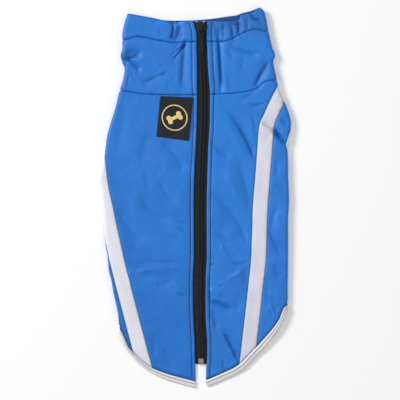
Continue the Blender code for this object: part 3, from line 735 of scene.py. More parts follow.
def hem_band(line):
    """Width of the hem's binding at each point of a line."""
    along, y = line.T
    side = np.where(along < 0, LEFT, RIGHT)
    return follow(HEM_BAND, "width", unroll(side, 0, y) - along)


def edge_line(columns, inset=None):
    """Points (along, y) on an edge round the jacket from left to right, moved up by an inset."""
    halves = []
    for side in (LEFT, RIGHT):
        bend, first, last = fold_bend(columns, side)
        reach = np.arange(-20, first - 0.5)
        upper = on_side(side, reach, follow(columns, "upper", side * reach))
        x = side * np.arange(1, last - 0.5)[::-1]
        under = np.stack((x, follow(columns, "under", x)), axis=1)
        halves.append(np.vstack((upper, bend, under)))
    left, right = halves
    line = np.vstack((left, [[0, follow(columns, "under", 0)]], right[::-1]))
    return spaced(line if inset is None else shifted(line, inset(line)), GRID)


def moved(line, up):
    """A line moved square to itself in its own plane."""
    run = np.gradient(line, axis=0)
    run /= np.linalg.norm(run, axis=1, keepdims=True)
    return line + np.reshape(up, (-1, 1)) * np.stack((-run[:, 1], run[:, 0]), axis=1)


def shifted(line, up):
    """A line on the cloth moved up, square to itself as it lies on each layer."""
    along, y = line.T
    side, past = past_fold(along, y)
    under = moved(line, up)
    upper = moved(np.stack((along - unroll(side, 0, y), y), axis=1), up)
    upper[:, 0] += unroll(side, 0, upper[:, 1])
    return upper + ease(past / 12)[:, None] * (under - upper)


def crossing(line, side, seam):
    """Place along an edge's points where it first meets a seam, counted from the left."""
    ahead = line if side < 0 else line[::-1]
    past = -side * (ahead[:, 0] - unroll(side, seam(ahead[:, 1]), ahead[:, 1]))
    first = int(np.flatnonzero((past[:-1] <= 0) & (past[1:] > 0))[0])
    place = first + past[first] / (past[first] - past[first + 1])
    return place if side < 0 else len(line) - 1 - place


def stretch(line, start, stop):
    """The part of an edge's points between two places, either way round."""
    low, high = sorted((start, stop))
    middle = range(math.ceil(low + 0.15), math.floor(high - 0.15) + 1)
    points = points_at([low, *middle, high], np.arange(len(line)), line)
    return points if start <= stop else points[::-1]


def seam_line(side, seam, start, stop):
    """Points (along, y) on a seam down the jacket between two levels."""
    levels = np.linspace(start, stop, max(2, round(abs(stop - start) / GRID) + 1))
    return on_side(side, seam(levels), levels)


def outline(start, stop, top, bottom):
    """The four edges of a piece between two seams down the jacket: top, stop, bottom, start."""
    ends = [[crossing(edge, *seam) for seam in (start, stop)] for edge in (top, bottom)]
    above, below = stretch(top, *ends[0]), stretch(bottom, *ends[1][::-1])
    down = seam_line(*stop, above[-1, 1], below[0, 1])
    back = seam_line(*start, below[-1, 1], above[0, 1])
    return above, down, below, back


def loop_of(edges):
    """One closed loop from edges that meet end to end."""
    return np.vstack([edge[:-1] for edge in edges])


def crossings(loop, y):
    """Where a loop crosses a level, from left to right."""
    start, end = loop, np.roll(loop, -1, axis=0)
    hit = (start[:, 1] > y) != (end[:, 1] > y)
    start, end = start[hit], end[hit]
    part = (y - start[:, 1]) / (end[:, 1] - start[:, 1])
    return np.sort(start[:, 0] + part * (end[:, 0] - start[:, 0]))


def covered(loop, x, y, margin):
    """How many of five places, each point of a row and four round it, lie in a loop."""
    count = 0
    for dx, dy in ((0, 0), (margin, 0), (-margin, 0), (0, margin), (0, -margin)):
        count = count + np.searchsorted(crossings(loop, y + dy), x + dx) % 2
    return count


def rim_points(loop):
    """Points just inside and just outside a loop, where a rounded edge ends."""
    after = np.roll(loop, -1, axis=0)
    run = after - np.roll(loop, 1, axis=0)
    run /= np.maximum(np.linalg.norm(run, axis=1, keepdims=True), 1e-9)
    square = np.stack((-run[:, 1], run[:, 0]), axis=1) * RIM
    square *= np.sign((loop[:, 0] * after[:, 1] - after[:, 0] * loop[:, 1]).sum())
    return loop + square, loop - square


def grid_points(loop, holes, step):
    """Points inside a loop and outside its holes: wider apart on the under layer."""
    rows = []
    apart = step * 0.9
    first, last = (round(edge / apart) for edge in (loop[:, 1].min(), loop[:, 1].max()))
    for k in range(first, last + 1):
        y = k * apart
        x = np.arange(round(loop[:, 0].min() / step), round(loop[:, 0].max() / step) + 1)
        coarse = (k % 2 == 0) & (x % 2 == 0)
        x = x * step + (0 if k % 2 else step / 2)
        # every point is kept from near a side fold outwards, and one in four between the folds
        centre, _ = fold_round(np.sign(x), y)
        keep = (np.abs(x) > centre - 6) | coarse
        keep &= covered(loop, x, y, step * 0.85) == 5
        for hole in holes:
            keep &= covered(hole, x, y, step * 0.85) == 0
        rows.append(np.stack((x[keep], np.full(keep.sum(), y)), axis=1))
    return np.vstack(rows)


def filled(loop, holes, step):
    """Triangles over a loop less its holes. Each point says how full the wall is there."""
    points, edges, full = [], [], []
    for ring in (loop, *holes):
        base = len(points)
        points += list(ring)
        full += [EDGE_FULL] * len(ring)
        edges += [(base + i, base + (i + 1) % len(ring)) for i in range(len(ring))]
    for ring in (loop, *holes):
        inward, outward = rim_points(ring)
        for point in (inward if ring is loop else outward):
            inner = [covered(ring, point[:1], point[1], RIM * 0.6)[0] for ring in (loop, *holes)]
            if inner[0] == 5 and not any(inner[1:]):
                points.append(point)
                full.append(RIM_FULL)
    grid = grid_points(loop, holes, step)
    points += list(grid)
    full += [1.0] * len(grid)
    flat = [Vector((float(p[0]), float(p[1]))) for p in points]
    spots, _, faces, came, *_ = delaunay_2d_cdt(flat, edges, [], 1, 1e-5)
    spots = np.array([tuple(spot) for spot in spots])
    full = np.array([min((full[i] for i in source), default=EDGE_FULL) for source in came])
    faces = np.array(faces)
    for hole in holes:
        middle = spots[faces].mean(axis=1)
        inside = np.array([len(crossings(hole, y)[crossings(hole, y) < x]) % 2 for x, y in middle])
        faces = faces[inside == 0]
    used = np.unique(faces)
    return spots[used], np.searchsorted(used, faces), full[used]


# ---- Making pieces ----

def placed(name, data):
    """A new object in the scene."""
    made = bpy.data.objects.new(name, data)
    bpy.context.scene.collection.objects.link(made)
    return made


def final_mesh(made, name):
    """The mesh of an object with its modifiers worked out."""
    bpy.context.view_layer.update()
    view = bpy.context.evaluated_depsgraph_get()
    mesh = bpy.data.meshes.new_from_object(made.evaluated_get(view))
    mesh.name = name
    return mesh


def new_piece(name, vertices, faces, finish, cut, sewing_and_shade=None):
    """A piece of the jacket's cloth, from points in millimetres and their places on its cut."""
    mesh = bpy.data.meshes.new(name)
    mesh.from_pydata((np.asarray(vertices) * MM).tolist(), [], faces)
    mesh.materials.append(finish)
    layer = mesh.uv_layers.new(name="cut")
    index = np.empty(len(mesh.loops), dtype=np.int32)
    mesh.loops.foreach_get("vertex_index", index)
    layer.data.foreach_set("uv", (np.asarray(cut) * MM)[index].ravel())
    if sewing_and_shade is not None:
        mesh.attributes.new("sewing_and_shade", "FLOAT_VECTOR", "POINT")
        mesh.attributes["sewing_and_shade"].data.foreach_set("vector", sewing_and_shade.ravel())
    mesh.shade_smooth()
    return settle(placed(name, mesh), "jacket")


def settle(made, body):
    """Gives a finished object its body."""
    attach(made, body)
    return made


def sew(name, finish, loop, relief, holes=(), wall=CLOTH, out=0.0, step=GRID, marks=None,
        least=0.0):
    """A thin closed shell of cloth over an outline on the opened-out jacket.

    Its relief is a function of the place. Out moves it off the jacket's wall, marks give what
    its colour follows, and least is the lowest that its inner face lies.
    """
    spots, faces, full = filled(loop, holes, step)
    along, y = spots.T
    middle, normal = middle_of_wall(along, y), wall_normal(along, y)
    raised = (out + relief(along, y))[:, None]
    half = (full * wall / 2)[:, None]
    outer, inner = middle + normal * (raised + half), middle + normal * (raised - half)
    side, reach = rolled(along, y)
    over = ease(follow(SIDES, "lay", y) - HIGH_LAY) * (reach < fold_round(side, y)[0])
    # neither face sinks into the table or through the layer beneath
    clear = np.maximum(UPPER_CLEAR * over, least)
    inner[:, 2] = np.maximum(inner[:, 2], clear)
    outer[:, 2] = np.maximum(outer[:, 2], 1.3 * clear + 0.05 + 0.3 * full * wall)
    count = len(spots)
    a, b, c = (spots[faces[:, i]] for i in range(3))
    turned = (b[:, 0] - a[:, 0]) * (c[:, 1] - a[:, 1]) > (b[:, 1] - a[:, 1]) * (c[:, 0] - a[:, 0])
    faces[turned] = faces[turned][:, ::-1]
    skin = faces.tolist()
    sides = {(face[i], face[(i + 1) % 3]) for face in skin for i in range(3)}
    rim = [(b, a, a + count, b + count) for a, b in sorted(sides) if (b, a) not in sides]
    back = (faces[:, ::-1] + count).tolist()
    sewing_and_shade = None
    if marks is not None:
        sewing_and_shade = np.tile(marks(along, y), (2, 1))
        # painted shade on the cloth's inner side
        sewing_and_shade[count:, 2] = np.maximum(sewing_and_shade[count:, 2], INNER_SHADE)
    return new_piece(name, np.vstack((outer, inner)), skin + back + rim, finish,
                     np.vstack((spots, spots)), sewing_and_shade)


def roll(name, finish, line, width, relief, closed=False):
    """A strip folded over an edge: a rounded oblong swept along a line on the opened-out cloth."""
    turn = 2 * math.pi * np.arange(ROLL_SIDES) / ROLL_SIDES
    across = np.sign(np.cos(turn)) * np.abs(np.cos(turn)) ** 0.55 / 2
    rise = np.sign(np.sin(turn)) * np.abs(np.sin(turn)) ** 0.6
    lap = 5 if closed else 0
    rings = len(line)
    wrap = np.arange(-lap, rings + lap) % rings
    rows = [shifted(line[wrap], a * width[wrap])[lap:lap + rings] for a in across]
    along, y = np.stack(rows, axis=1).reshape(-1, 2).T
    place = np.repeat(passed(line), ROLL_SIDES)
    across, rise = np.tile(across, rings), np.tile(rise, rings)
    out = rise * np.where(rise > 0, ROLL_HIGH, ROLL_LOW) + relief(along, y, place, across, rise)
    points = middle_of_wall(along, y) + wall_normal(along, y) * out[:, None]
    points[:, 2] = np.maximum(points[:, 2], 0.02)
    index = np.arange(rings * ROLL_SIDES).reshape(rings, ROLL_SIDES)
    here, ahead = (index, np.roll(index, -1, axis=0)) if closed else (index[:-1], index[1:])
    faces = np.stack((here, ahead, np.roll(ahead, -1, axis=1), np.roll(here, -1, axis=1)), axis=2)
    faces = faces.reshape(-1, 4).tolist()
    if not closed:
        faces += [index[0].tolist(), index[-1][::-1].tolist()]
    cut = np.stack((place, across * BINDING), axis=1)
    return new_piece(name, points, faces, finish, cut)


# ---- Nodes and shader maths ----

def add_node(tree, kind, settings, values):
    """Adds a node: its settings first, then its sockets' values or links. Gives its outputs."""
    made = tree.nodes.new(kind)
    for setting, value in settings.items():
        setattr(made, setting, value)
    for socket, value in values.items():
        if isinstance(value, bpy.types.NodeSocket):
            tree.links.new(value, made.inputs[socket])
        else:
            made.inputs[socket].default_value = value
    return made.outputs


class Value:
    """A number socket in a material, for use in expressions."""

    def __init__(self, finish, socket):
        self.finish, self.socket = finish, socket

    def math(self, operation, *others):
        """A Math node on this value and others."""
        values = dict(enumerate((self, *others)))
        return self.finish.node("ShaderNodeMath", values, operation=operation)

    def __add__(self, other):
        return self.math("ADD", other)

    def __sub__(self, other):
        return self.math("SUBTRACT", other)

    def __rsub__(self, other):
        return (self * -1).math("ADD", other)

    def __mul__(self, other):
        return self.math("MULTIPLY", other)

    __radd__, __rmul__ = __add__, __mul__

    def wave(self, length):
        """A smooth wave from 0 to 1 with a given length."""
        return (self * (2 * math.pi / length)).math("SINE") * 0.5 + 0.5

    def between(self, low, high):
        """0 below low, 1 above high, and smooth in between."""
        return self.finish.node("ShaderNodeMapRange",
                                {"Value": self, "From Min": low, "From Max": high},
                                interpolation_type="SMOOTHSTEP")


class Finish:
    """A material around one Principled shader."""

    def __init__(self, name, **constants):
        self.material = bpy.data.materials.new(name)
        self.material.use_nodes = True
        self.tree = self.material.node_tree
        self.shader = self.tree.nodes["Principled BSDF"]
        for socket, value in constants.items():
            self.shader.inputs[socket.replace("_", " ")].default_value = value

    def node(self, kind, values, output=0, **settings):
        """Adds a node and gives one of its outputs."""
        values = {socket: value.socket if isinstance(value, Value) else value
                  for socket, value in values.items()}
        return Value(self, add_node(self.tree, kind, settings, values)[output])

    def feed(self, socket, value):
        """Links a value into the shader."""
        self.tree.links.new(value.socket, self.shader.inputs[socket])

    def parts(self, vector):
        """The three numbers of a vector."""
        first = self.node("ShaderNodeSeparateXYZ", {0: vector})
        return [Value(self, output) for output in first.socket.node.outputs]

    def in_mm(self, vector):
        """A place in millimetres."""
        return self.node("ShaderNodeVectorMath", {0: vector, "Scale": 1 / MM}, operation="SCALE")

    def cut(self):
        """Place on the opened-out cloth, in millimetres: as a vector, and its two numbers."""
        place = self.in_mm(self.node("ShaderNodeUVMap", {}, uv_map="cut"))
        return place, *self.parts(place)[:2]

    def place(self):
        """Place in the frame, in millimetres."""
        return self.in_mm(self.node("ShaderNodeTexCoord", {}, 3))

    def sewing_and_shade(self):
        """Painted shade from 0 to 1 along seams, along topstitching, and in creases and other
        shaded places.
        """
        marks = self.node("ShaderNodeAttribute", {}, 1, attribute_name="sewing_and_shade")
        near, stitching, painted_shade = self.parts(marks)
        return (1 - near.between(0.1, 1.0), 1 - stitching.math("ABSOLUTE").between(0.2, 0.85),
                painted_shade.math("POWER", 1.4))

    def speckle(self, place, size, detail=2.0, roughness=0.5):
        """Cloudy values from 0 to 1 with features of a given size in millimetres."""
        return self.node("ShaderNodeTexNoise", {"Vector": place, "Scale": 1 / size,
                                                "Detail": detail, "Roughness": roughness})

    def blend(self, share, first, second):
        """A colour between two colours."""
        first, second = (value if isinstance(value, Value) else (*value, 1)
                         for value in (first, second))
        return self.node("ShaderNodeMix", {0: share, 6: first, 7: second}, 2, data_type="RGBA")

    def bump(self, height, distance):
        """Raises the surface by a height, in millimetres times a distance."""
        self.feed("Normal", self.node("ShaderNodeBump",
                                      {"Height": height, "Distance": distance * MM}))


def taffeta():
    """Blue taffeta: fine plain weave with a soft sheen, a little uneven in tone, with painted light
    and shade.
    """
    cloth = Finish("blue_taffeta", Sheen_Weight=0.14, Sheen_Roughness=0.45,
                   Sheen_Tint=(0.40, 0.75, 1.0, 1), Specular_IOR_Level=0.42)
    place, along, level = cloth.cut()
    tone = cloth.speckle(place, 34, 3) * 0.7 + cloth.speckle(place, 7) * 0.3
    # painted light: a little lighter towards the collar; the cloth is also lighter right of the zip
    tone = tone.between(0.32, 0.68) * 0.7 + level.between(-150, 150) * 0.4
    tone = tone + along.between(95, 125) * 0.38
    colour = cloth.blend(tone, (0.006, 0.160, 0.595), (0.012, 0.218, 0.735))
    seams, stitching, creases = cloth.sewing_and_shade()
    # painted shade on the collar's right side
    collar = level.between(152, 172) * along.between(62, 80) * 0.27   # its darker right side
    # painted shade along the seams, along the topstitching's groove and in creases
    shade = (seams * 0.45 + stitching * 0.42).math("MINIMUM", 0.7)
    shade = shade.math("MAXIMUM", creases * 0.8 + collar)
    colour = cloth.blend(shade, colour, (0.001, 0.018, 0.115))
    threads = along.wave(0.42) * 0.5 + level.wave(0.42) * 0.5
    slubs = cloth.speckle(place, 1.1)
    cloth.feed("Base Color", cloth.blend(threads * slubs * 0.5, colour, (0.004, 0.100, 0.440)))
    cloth.feed("Roughness", cloth.speckle(place, 12) * 0.12 + threads * 0.05 + 0.40)
    crumple = cloth.speckle(place, 5.5, 3) * 2.4
    cloth.bump(threads * 0.35 + slubs * 0.6 + crumple, 0.11)
    return cloth.material


def reflective():
    """Silver reflective tape: a beaded surface, slightly cloudy, with painted light and shade."""
    tape = Finish("reflective_silver", Metallic=0.0, Specular_IOR_Level=0.6)
    place, along, _ = tape.cut()
    beads = tape.node("ShaderNodeTexVoronoi", {"Vector": place, "Scale": 2.2}, feature="F1")
    cloud = tape.speckle(place, 22)
    colour = tape.blend(cloud.between(0.3, 0.7), (0.66, 0.655, 0.745), (0.73, 0.725, 0.825))
    # painted light: the left stripe, towards the key lamp, is lighter
    colour = tape.blend((along * -1).between(0, 60) * 0.55, colour, (0.88, 0.88, 0.95))
    seams, _, creases = tape.sewing_and_shade()
    # painted shade along the seams, in creases and beside the hem's binding
    shade = (seams * 0.6).math("MAXIMUM", creases * 0.6)
    tape.feed("Base Color", tape.blend(shade, colour, (0.02, 0.10, 0.38)))
    tape.feed("Roughness", cloud * 0.1 + 0.42)
    tape.bump(beads * 0.4 + tape.speckle(place, 2.5) * 0.3, 0.08)
    return tape.material


def binding_cloth():
    """Silver-grey binding tape: fine ribs across it, its stitching, painted shade along its edges
    and a painted highlight on its raised inner band.
    """
    tape = Finish("silver_binding", Specular_IOR_Level=0.4)
    place, along, across = tape.cut()
    ribs, cloud = along.wave(0.9), tape.speckle(place, 4, 3)
    colour = tape.blend(cloud * 0.6 + ribs * 0.4, (0.67, 0.65, 0.66), (0.84, 0.82, 0.83))
    sewn = (across - STITCH_SHARE * BINDING).math("ABSOLUTE")
    for share, shade in (
        # painted highlight along its raised inner band
        (across.between(0.9, 1.5), (0.84, 0.83, 0.88)),
        ((1 - sewn.between(0.2, 0.6)) * 0.8, (0.16, 0.15, 0.17)),
        # painted shade along the outer edge, where it rounds away
        ((1 - across.between(-2.95, -2.3)) * 0.8, (0.20, 0.165, 0.15)),
        # painted shadow along the inner edge, beside the blue cloth
        (across.between(2.7, 2.95) * 0.8, (0.12, 0.13, 0.20)),
    ):
        colour = tape.blend(share, colour, shade)
    tape.feed("Base Color", colour)
    tape.feed("Roughness", cloud * 0.2 + 0.5)
    tape.bump(ribs * 0.6 + cloud * 0.8, 0.12)
    return tape.material


def woven(name, weave, dark, light, size, least, **constants):
    """A weave or stitching in two tones, from a function of the place on its cut."""
    cloth = Finish(name, **constants)
    place, along, level = cloth.cut()
    threads = weave(along, level)
    cloth.feed("Base Color", cloth.blend(threads, dark, light))
    cloth.feed("Roughness", cloth.speckle(place, size) * 0.15 + least)
    cloth.bump(threads, 0.08)
    return cloth.material


def coil_nylon():
    """Black nylon of the zip's coil."""
    coil = Finish("black_nylon", Specular_IOR_Level=0.5)
    cloud = coil.speckle(coil.place(), 2.5)
    coil.feed("Base Color", coil.blend(cloud, (0.010, 0.009, 0.009), (0.026, 0.024, 0.024)))
    coil.feed("Roughness", cloud * 0.2 + 0.38)
    return coil.material


def painted_black():
    """Black paint on the slider and its pull, a little worn in spots."""
    paint = Finish("black_paint", Specular_IOR_Level=0.35)
    place = paint.place()
    worn = paint.speckle(place, 1.6, 4, 0.7).between(0.62, 0.7)
    paint.feed("Base Color", paint.blend(worn, (0.003, 0.003, 0.003), (0.035, 0.034, 0.030)))
    paint.feed("Roughness", paint.speckle(place, 3) * 0.15 + 0.42)
    paint.feed("Metallic", worn * 0.6)
    paint.bump(paint.speckle(place, 0.8), 0.03)
    return paint.material


def dull_steel():
    """Dull steel of the zip's stops and end box."""
    steel = Finish("dull_steel")
    place = steel.place()
    cloud = steel.speckle(place, 1.4, 3)
    steel.feed("Base Color", steel.blend(cloud, (0.20, 0.19, 0.18), (0.42, 0.40, 0.37)))
    steel.feed("Roughness", cloud * 0.25 + 0.28)
    steel.feed("Metallic", cloud * 0.1 + 0.88)
    steel.bump(steel.speckle(place, 0.5), 0.02)
    return steel.material


def sewing_thread(name, dark, light):
    """Twisted polyester thread."""
    thread = Finish(name, Specular_IOR_Level=0.5)
    place = thread.place()
    thread.feed("Base Color", thread.blend(thread.speckle(place, 1.2), dark, light))
    thread.feed("Roughness", thread.speckle(place, 0.6) * 0.2 + 0.45)
    return thread.material


# ---- What repeats: zip teeth and stitches ----

BEAD_SIZES = ("Spacing", "Length", "Width", "Height")


def beads_tree(finish):
    """Geometry Nodes that set small rounded beads along a path, turned with it and its surface."""
    tree = bpy.data.node_groups.new("beads_along_path", "GeometryNodeTree")
    sockets = [("Path", "INPUT", "Geometry"), ("Beads", "OUTPUT", "Geometry")]
    for name, way, kind in sockets + [(name, "INPUT", "Float") for name in BEAD_SIZES]:
        tree.interface.new_socket(name, in_out=way, socket_type=f"NodeSocket{kind}")

    def add(kind, output, values, **settings):
        return add_node(tree, kind, settings, values)[output]

    given = add_node(tree, "NodeGroupInput", {}, {})
    spacing, *size = (given[name] for name in BEAD_SIZES)
    curve = add("GeometryNodeMeshToCurve", "Curve", {"Mesh": given["Path"]})
    points = add("GeometryNodeResampleCurve", "Curve", {"Curve": curve, "Length": spacing},
                 mode="LENGTH")
    tangent = add("GeometryNodeInputTangent", "Tangent", {})
    ahead = add("FunctionNodeAlignRotationToVector", "Rotation", {"Vector": tangent}, axis="X")
    up = add("GeometryNodeInputNamedAttribute", "Attribute", {"Name": "up"},
             data_type="FLOAT_VECTOR")
    turned = add("FunctionNodeAlignRotationToVector", "Rotation",
                 {"Rotation": ahead, "Vector": up}, axis="Z", pivot_axis="X")
    scale = add("ShaderNodeCombineXYZ", "Vector", dict(enumerate(size)))
    bead = add("GeometryNodeMeshUVSphere", "Mesh", {"Segments": 8, "Rings": 6, "Radius": 0.5})
    bead = add("GeometryNodeSetShadeSmooth", "Geometry", {"Geometry": bead})
    row = add("GeometryNodeInstanceOnPoints", "Instances",
              {"Points": points, "Instance": bead, "Rotation": turned, "Scale": scale})
    row = add("GeometryNodeRealizeInstances", "Geometry", {"Geometry": row})
    row = add("GeometryNodeSetMaterial", "Geometry", {"Geometry": row, "Material": finish})
    add_node(tree, "NodeGroupOutput", {}, {"Beads": row})
    return tree


def beads(name, finish, slot, paths, spacing, size):
    """One mesh of beads along paths: each path is (points, directions out), in millimetres."""
    mesh = bpy.data.meshes.new(f"{name}_path")
    points = np.vstack([line for line, _ in paths]) * MM
    starts = np.cumsum([0] + [len(line) for line, _ in paths])
    edges = [(i, i + 1) for a, b in zip(starts, starts[1:]) for i in range(a, b - 1)]
    mesh.from_pydata(points.tolist(), edges, [])
    mesh.attributes.new("up", "FLOAT_VECTOR", "POINT")
    mesh.attributes["up"].data.foreach_set("vector", np.vstack([up for _, up in paths]).ravel())
    path = placed(f"{name}_path", mesh)
    maker = path.modifiers.new("beads", "NODES")
    maker.node_group = beads_tree(finish)
    inputs = {item.name: item.identifier for item in maker.node_group.interface.items_tree}
    for label, value in zip(BEAD_SIZES, (spacing, *size)):
        maker[inputs[label]] = value * MM
    made = placed(name, final_mesh(path, name))
    bpy.data.objects.remove(path)
    return settle(made, "jacket")


def on_cloth(line, relief, out):
    """A path lying on the cloth, and its directions out, from a line on the opened-out jacket."""
    along, y = line.T
    normal = wall_normal(along, y)
    points = middle_of_wall(along, y) + normal * (out + relief(along, y))[:, None]
    points[:, 2] = np.maximum(points[:, 2], 0.1)
    return points, normal


# ---- The jacket's pieces ----

collar_top, collar_seam = edge_line(COLLAR_TOP), edge_line(COLLAR_SEAM)
neck_seam, hem_top = edge_line(NECK_SEAM), edge_line(HEM, hem_band)
hem_seam = edge_line(HEM, lambda line: hem_band(line) - UNDER_BAND)
BLUE, SILVER, EDGING = taffeta(), reflective(), binding_cloth()
TAPE = woven("black_zip_tape", lambda along, level: (along.math("PINGPONG", 1.2) + level).wave(0.8),
             (0.010, 0.010, 0.013), (0.020, 0.020, 0.025), 3, 0.7, Specular_IOR_Level=0.3)
DAMASK = woven("black_damask", lambda along, level: level.wave(0.5) * 0.6 + along.wave(0.7) * 0.4,
               (0.006, 0.007, 0.011), (0.014, 0.016, 0.024), 4, 0.5, Specular_IOR_Level=0.3)
GOLD = woven("gold_thread", lambda along, level: (along + level * 0.6).wave(0.45),
             (0.84, 0.56, 0.14), (1.0, 0.82, 0.38), 2, 0.38, Sheen_Weight=0.15,
             Specular_IOR_Level=0.5)
COIL, PAINT, STEEL = coil_nylon(), painted_black(), dull_steel()
NAVY_THREAD = sewing_thread("navy_thread", (0.002, 0.014, 0.070), (0.004, 0.030, 0.125))
GREY_THREAD = sewing_thread("grey_thread", (0.10, 0.10, 0.12), (0.22, 0.22, 0.25))
BLACK_THREAD = sewing_thread("black_thread", (0.008, 0.008, 0.010), (0.03, 0.03, 0.035))


def zip_edge(side):
    """The seam where cloth meets the zip."""
    return side, lambda y: zip_reach(side, y)


def stripe_edge(side, across):
    """A seam beside a reflective stripe, at a distance across from its inner edge."""
    return side, lambda y: stripe_reach(side, y) + across


def jacket_height(along, y):
    """Relief of the cloth, quiet under the slider and its pull."""
    side, reach = rolled(along, y)
    away = np.abs(side * reach - follow(ZIP, "middle", y))
    quiet = (1 - ease((away - 7) / 6)) * ease((y - PULL_LOW) / 8)
    return cloth_height(along, y) * (1 - quiet)


def sewn_height(edges, has_placket=True):
    """Relief of a panel: creases, seams and, beside the zip, the placket."""
    def height(along, y):
        total = jacket_height(along, y) + seam_height(along, y, edges)
        return total + placket_height(along, y) if has_placket else total
    return height


def sewing_and_shade_marks(lines, has_placket=True, fold_shade=FOLD_SHADE):
    """What a cloth's colour follows: how far a place is from the seams, how far from the
    topstitching, and its painted shade, in a crease, on the left side fold or beside the hem's
    binding.
    """
    def marks(along, y):
        near, from_hem = distance_from(lines, along, y), distance_from([hem_top], along, y)
        side, reach = rolled(along, y)
        away = reach - zip_reach(side, y) - placket(y) if has_placket else np.full_like(y, FAR)
        away *= 1 + 0.8 * on_collar(y)
        # painted shade: in creases, on the left side fold and beside the hem's binding
        painted_shade = all_creases(along, y)[1] / CAVITY
        from_fold = past_fold(along, y)[1]
        painted_shade += fold_shade * np.exp(-(from_fold / FOLD_SHADED) ** 2) * (side < 0)
        painted_shade += np.exp(-(from_hem / HEM_SHADED) ** 2)
        return np.stack((near, away, np.clip(painted_shade, 0, 1)), axis=1)
    return marks


def round_neck():
    """The collar band and the yoke below it, from one edge of the zip round to the other."""
    for name, node, top, bottom, dips in (
        ("collar_cloth", "collar_band", collar_top, collar_seam, ((0.1, 0.25), (0.55, 0.5))),
        ("yoke_cloth", "neck_panel", collar_seam, neck_seam, ((0.55, 0.6), (0.5, 0.35))),
    ):
        edges = outline(zip_edge(LEFT), zip_edge(RIGHT), top, bottom)
        loop = loop_of(edges)
        relief = sewn_height([(edges[0], *dips[0]), (edges[2], *dips[1])])
        piece = sew(name, BLUE, loop, relief, step=NECK_GRID,
                    marks=sewing_and_shade_marks((shifted(edges[0], -0.5), edges[2])))
        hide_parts(node)


def back():
    """The panels beside the zip and the reflective stripes outside them."""
    for side, name in SIDE_NAMES:
        edges = outline(zip_edge(side), stripe_edge(side, 0), neck_seam, hem_seam)
        relief = sewn_height([(edges[0], 0.5, 0.35), (edges[1], 0.3, 0.14), (hem_top, 0.8, 0.4)])
        loop = loop_of(edges)
        piece = sew(f"back_cloth_{name}", BLUE, loop, relief,
                    marks=sewing_and_shade_marks((edges[0], edges[1], hem_top)))
        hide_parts(f"back_panel_{name}")
        sewn_on = [f"zip_tape_cloth_{name}", f"zip_coil_{name}"]
        if side < 0:
            sewn_on += ["coil_stitches", "placket_stitches"]
        edges = outline(stripe_edge(side, 0), stripe_edge(side, STRIPE), neck_seam, hem_seam)
        relief = sewn_height([(edge, 0.35, 0.1) for edge in (*edges[:2], hem_top, edges[3])], False)
        piece = sew(f"stripe_{name}", SILVER, loop_of(edges), relief,
                    marks=sewing_and_shade_marks((*edges[:2], hem_top, edges[3]), False, 0))
        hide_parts(f"reflective_stripe_{name}")


def leg_ring(side, grow):
    """Oval round a leg hole, on the opened-out cloth."""
    middle = float(unroll(side, LEG_REACH[side], LEG_LEVEL))
    turn = np.linspace(0, 2 * math.pi, 150, endpoint=False)
    width, length = LEG_HOLE
    return np.stack((middle + (width + grow) * np.cos(turn),
                     LEG_LEVEL + (length + grow) * np.sin(turn)), axis=1)


def belly():
    """The side and belly piece, with its two leg holes."""
    edges = outline(stripe_edge(LEFT, STRIPE), stripe_edge(RIGHT, STRIPE), neck_seam, hem_seam)
    holes = [leg_ring(side, BINDING - UNDER_BAND) for side in (LEFT, RIGHT)]
    relief = sewn_height([(edges[0], 0.5, 0.35), (edges[1], 0.5, 0.14), (hem_top, 0.8, 0.4),
                          (edges[3], 0.5, 0.14), *((hole, 0.1, 0.25) for hole in holes)], False)
    loop = loop_of(edges)
    rings = [leg_ring(side, BINDING) for side in (LEFT, RIGHT)]
    piece = sew("belly_cloth", BLUE, loop, relief, holes,
                marks=sewing_and_shade_marks((*edges[:2], hem_top, edges[3], *rings), False))
    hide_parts("belly_panel")


def binding_relief(seed):
    """Small puckers across a binding, and the dent of its stitching."""
    def height(along, y, place, across, rise):
        pucker, slow = ripple(place / 1.7, seed, 0.2), ripple(place / 6.0, seed, 3.2)
        dent = np.exp(-((across - STITCH_SHARE) / 0.07) ** 2)
        own = (0.2 * pucker + 0.16 * slow - 0.5 * dent) * np.maximum(rise, 0)
        return own + jacket_height(along, y)
    return height


def bindings():
    """The silver bindings round the hem and the leg holes, with their stitching."""
    lines = []
    centre = edge_line(HEM, lambda line: hem_band(line) / 2)
    top = HEM["upper"].min() + BINDING
    ends = [crossing(centre, side, lambda y, side=side: zip_reach(side, y)
                     + END_SLANT * np.maximum(top - y, 0)) for side in (LEFT, RIGHT)]
    line = spaced(stretch(centre, *ends), ROLL_STEP)
    width = hem_band(line)
    piece = roll("hem_edging", EDGING, line, width, binding_relief(1.3))
    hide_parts("hem_binding_left", "hem_binding_right", "hem_binding_belly")
    lines.append(shifted(line, STITCH_SHARE * width)[2:-2])
    for side, name in SIDE_NAMES:
        ring = spaced_ring(leg_ring(side, BINDING / 2), ROLL_STEP)[::-1]
        piece = roll(f"leg_edging_{name}", EDGING, ring,
                     np.full(len(ring), BINDING), binding_relief(4.1 + side), closed=True)
        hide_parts(f"leg_binding_{name}")
        lines.append(leg_ring(side, BINDING * (0.5 + STITCH_SHARE)))
    paths = [on_cloth(line, jacket_height, 0.95) for line in lines]
    beads("binding_stitches", GREY_THREAD, "silver_binding", paths, *BINDING_STITCHES)


def zip_line(side, across, start, stop):
    """A line along the zip at a distance out from the teeth's inner edge."""
    return spaced(seam_line(side, lambda y: vee_reach(side, y) + across, start, stop), 1.0)


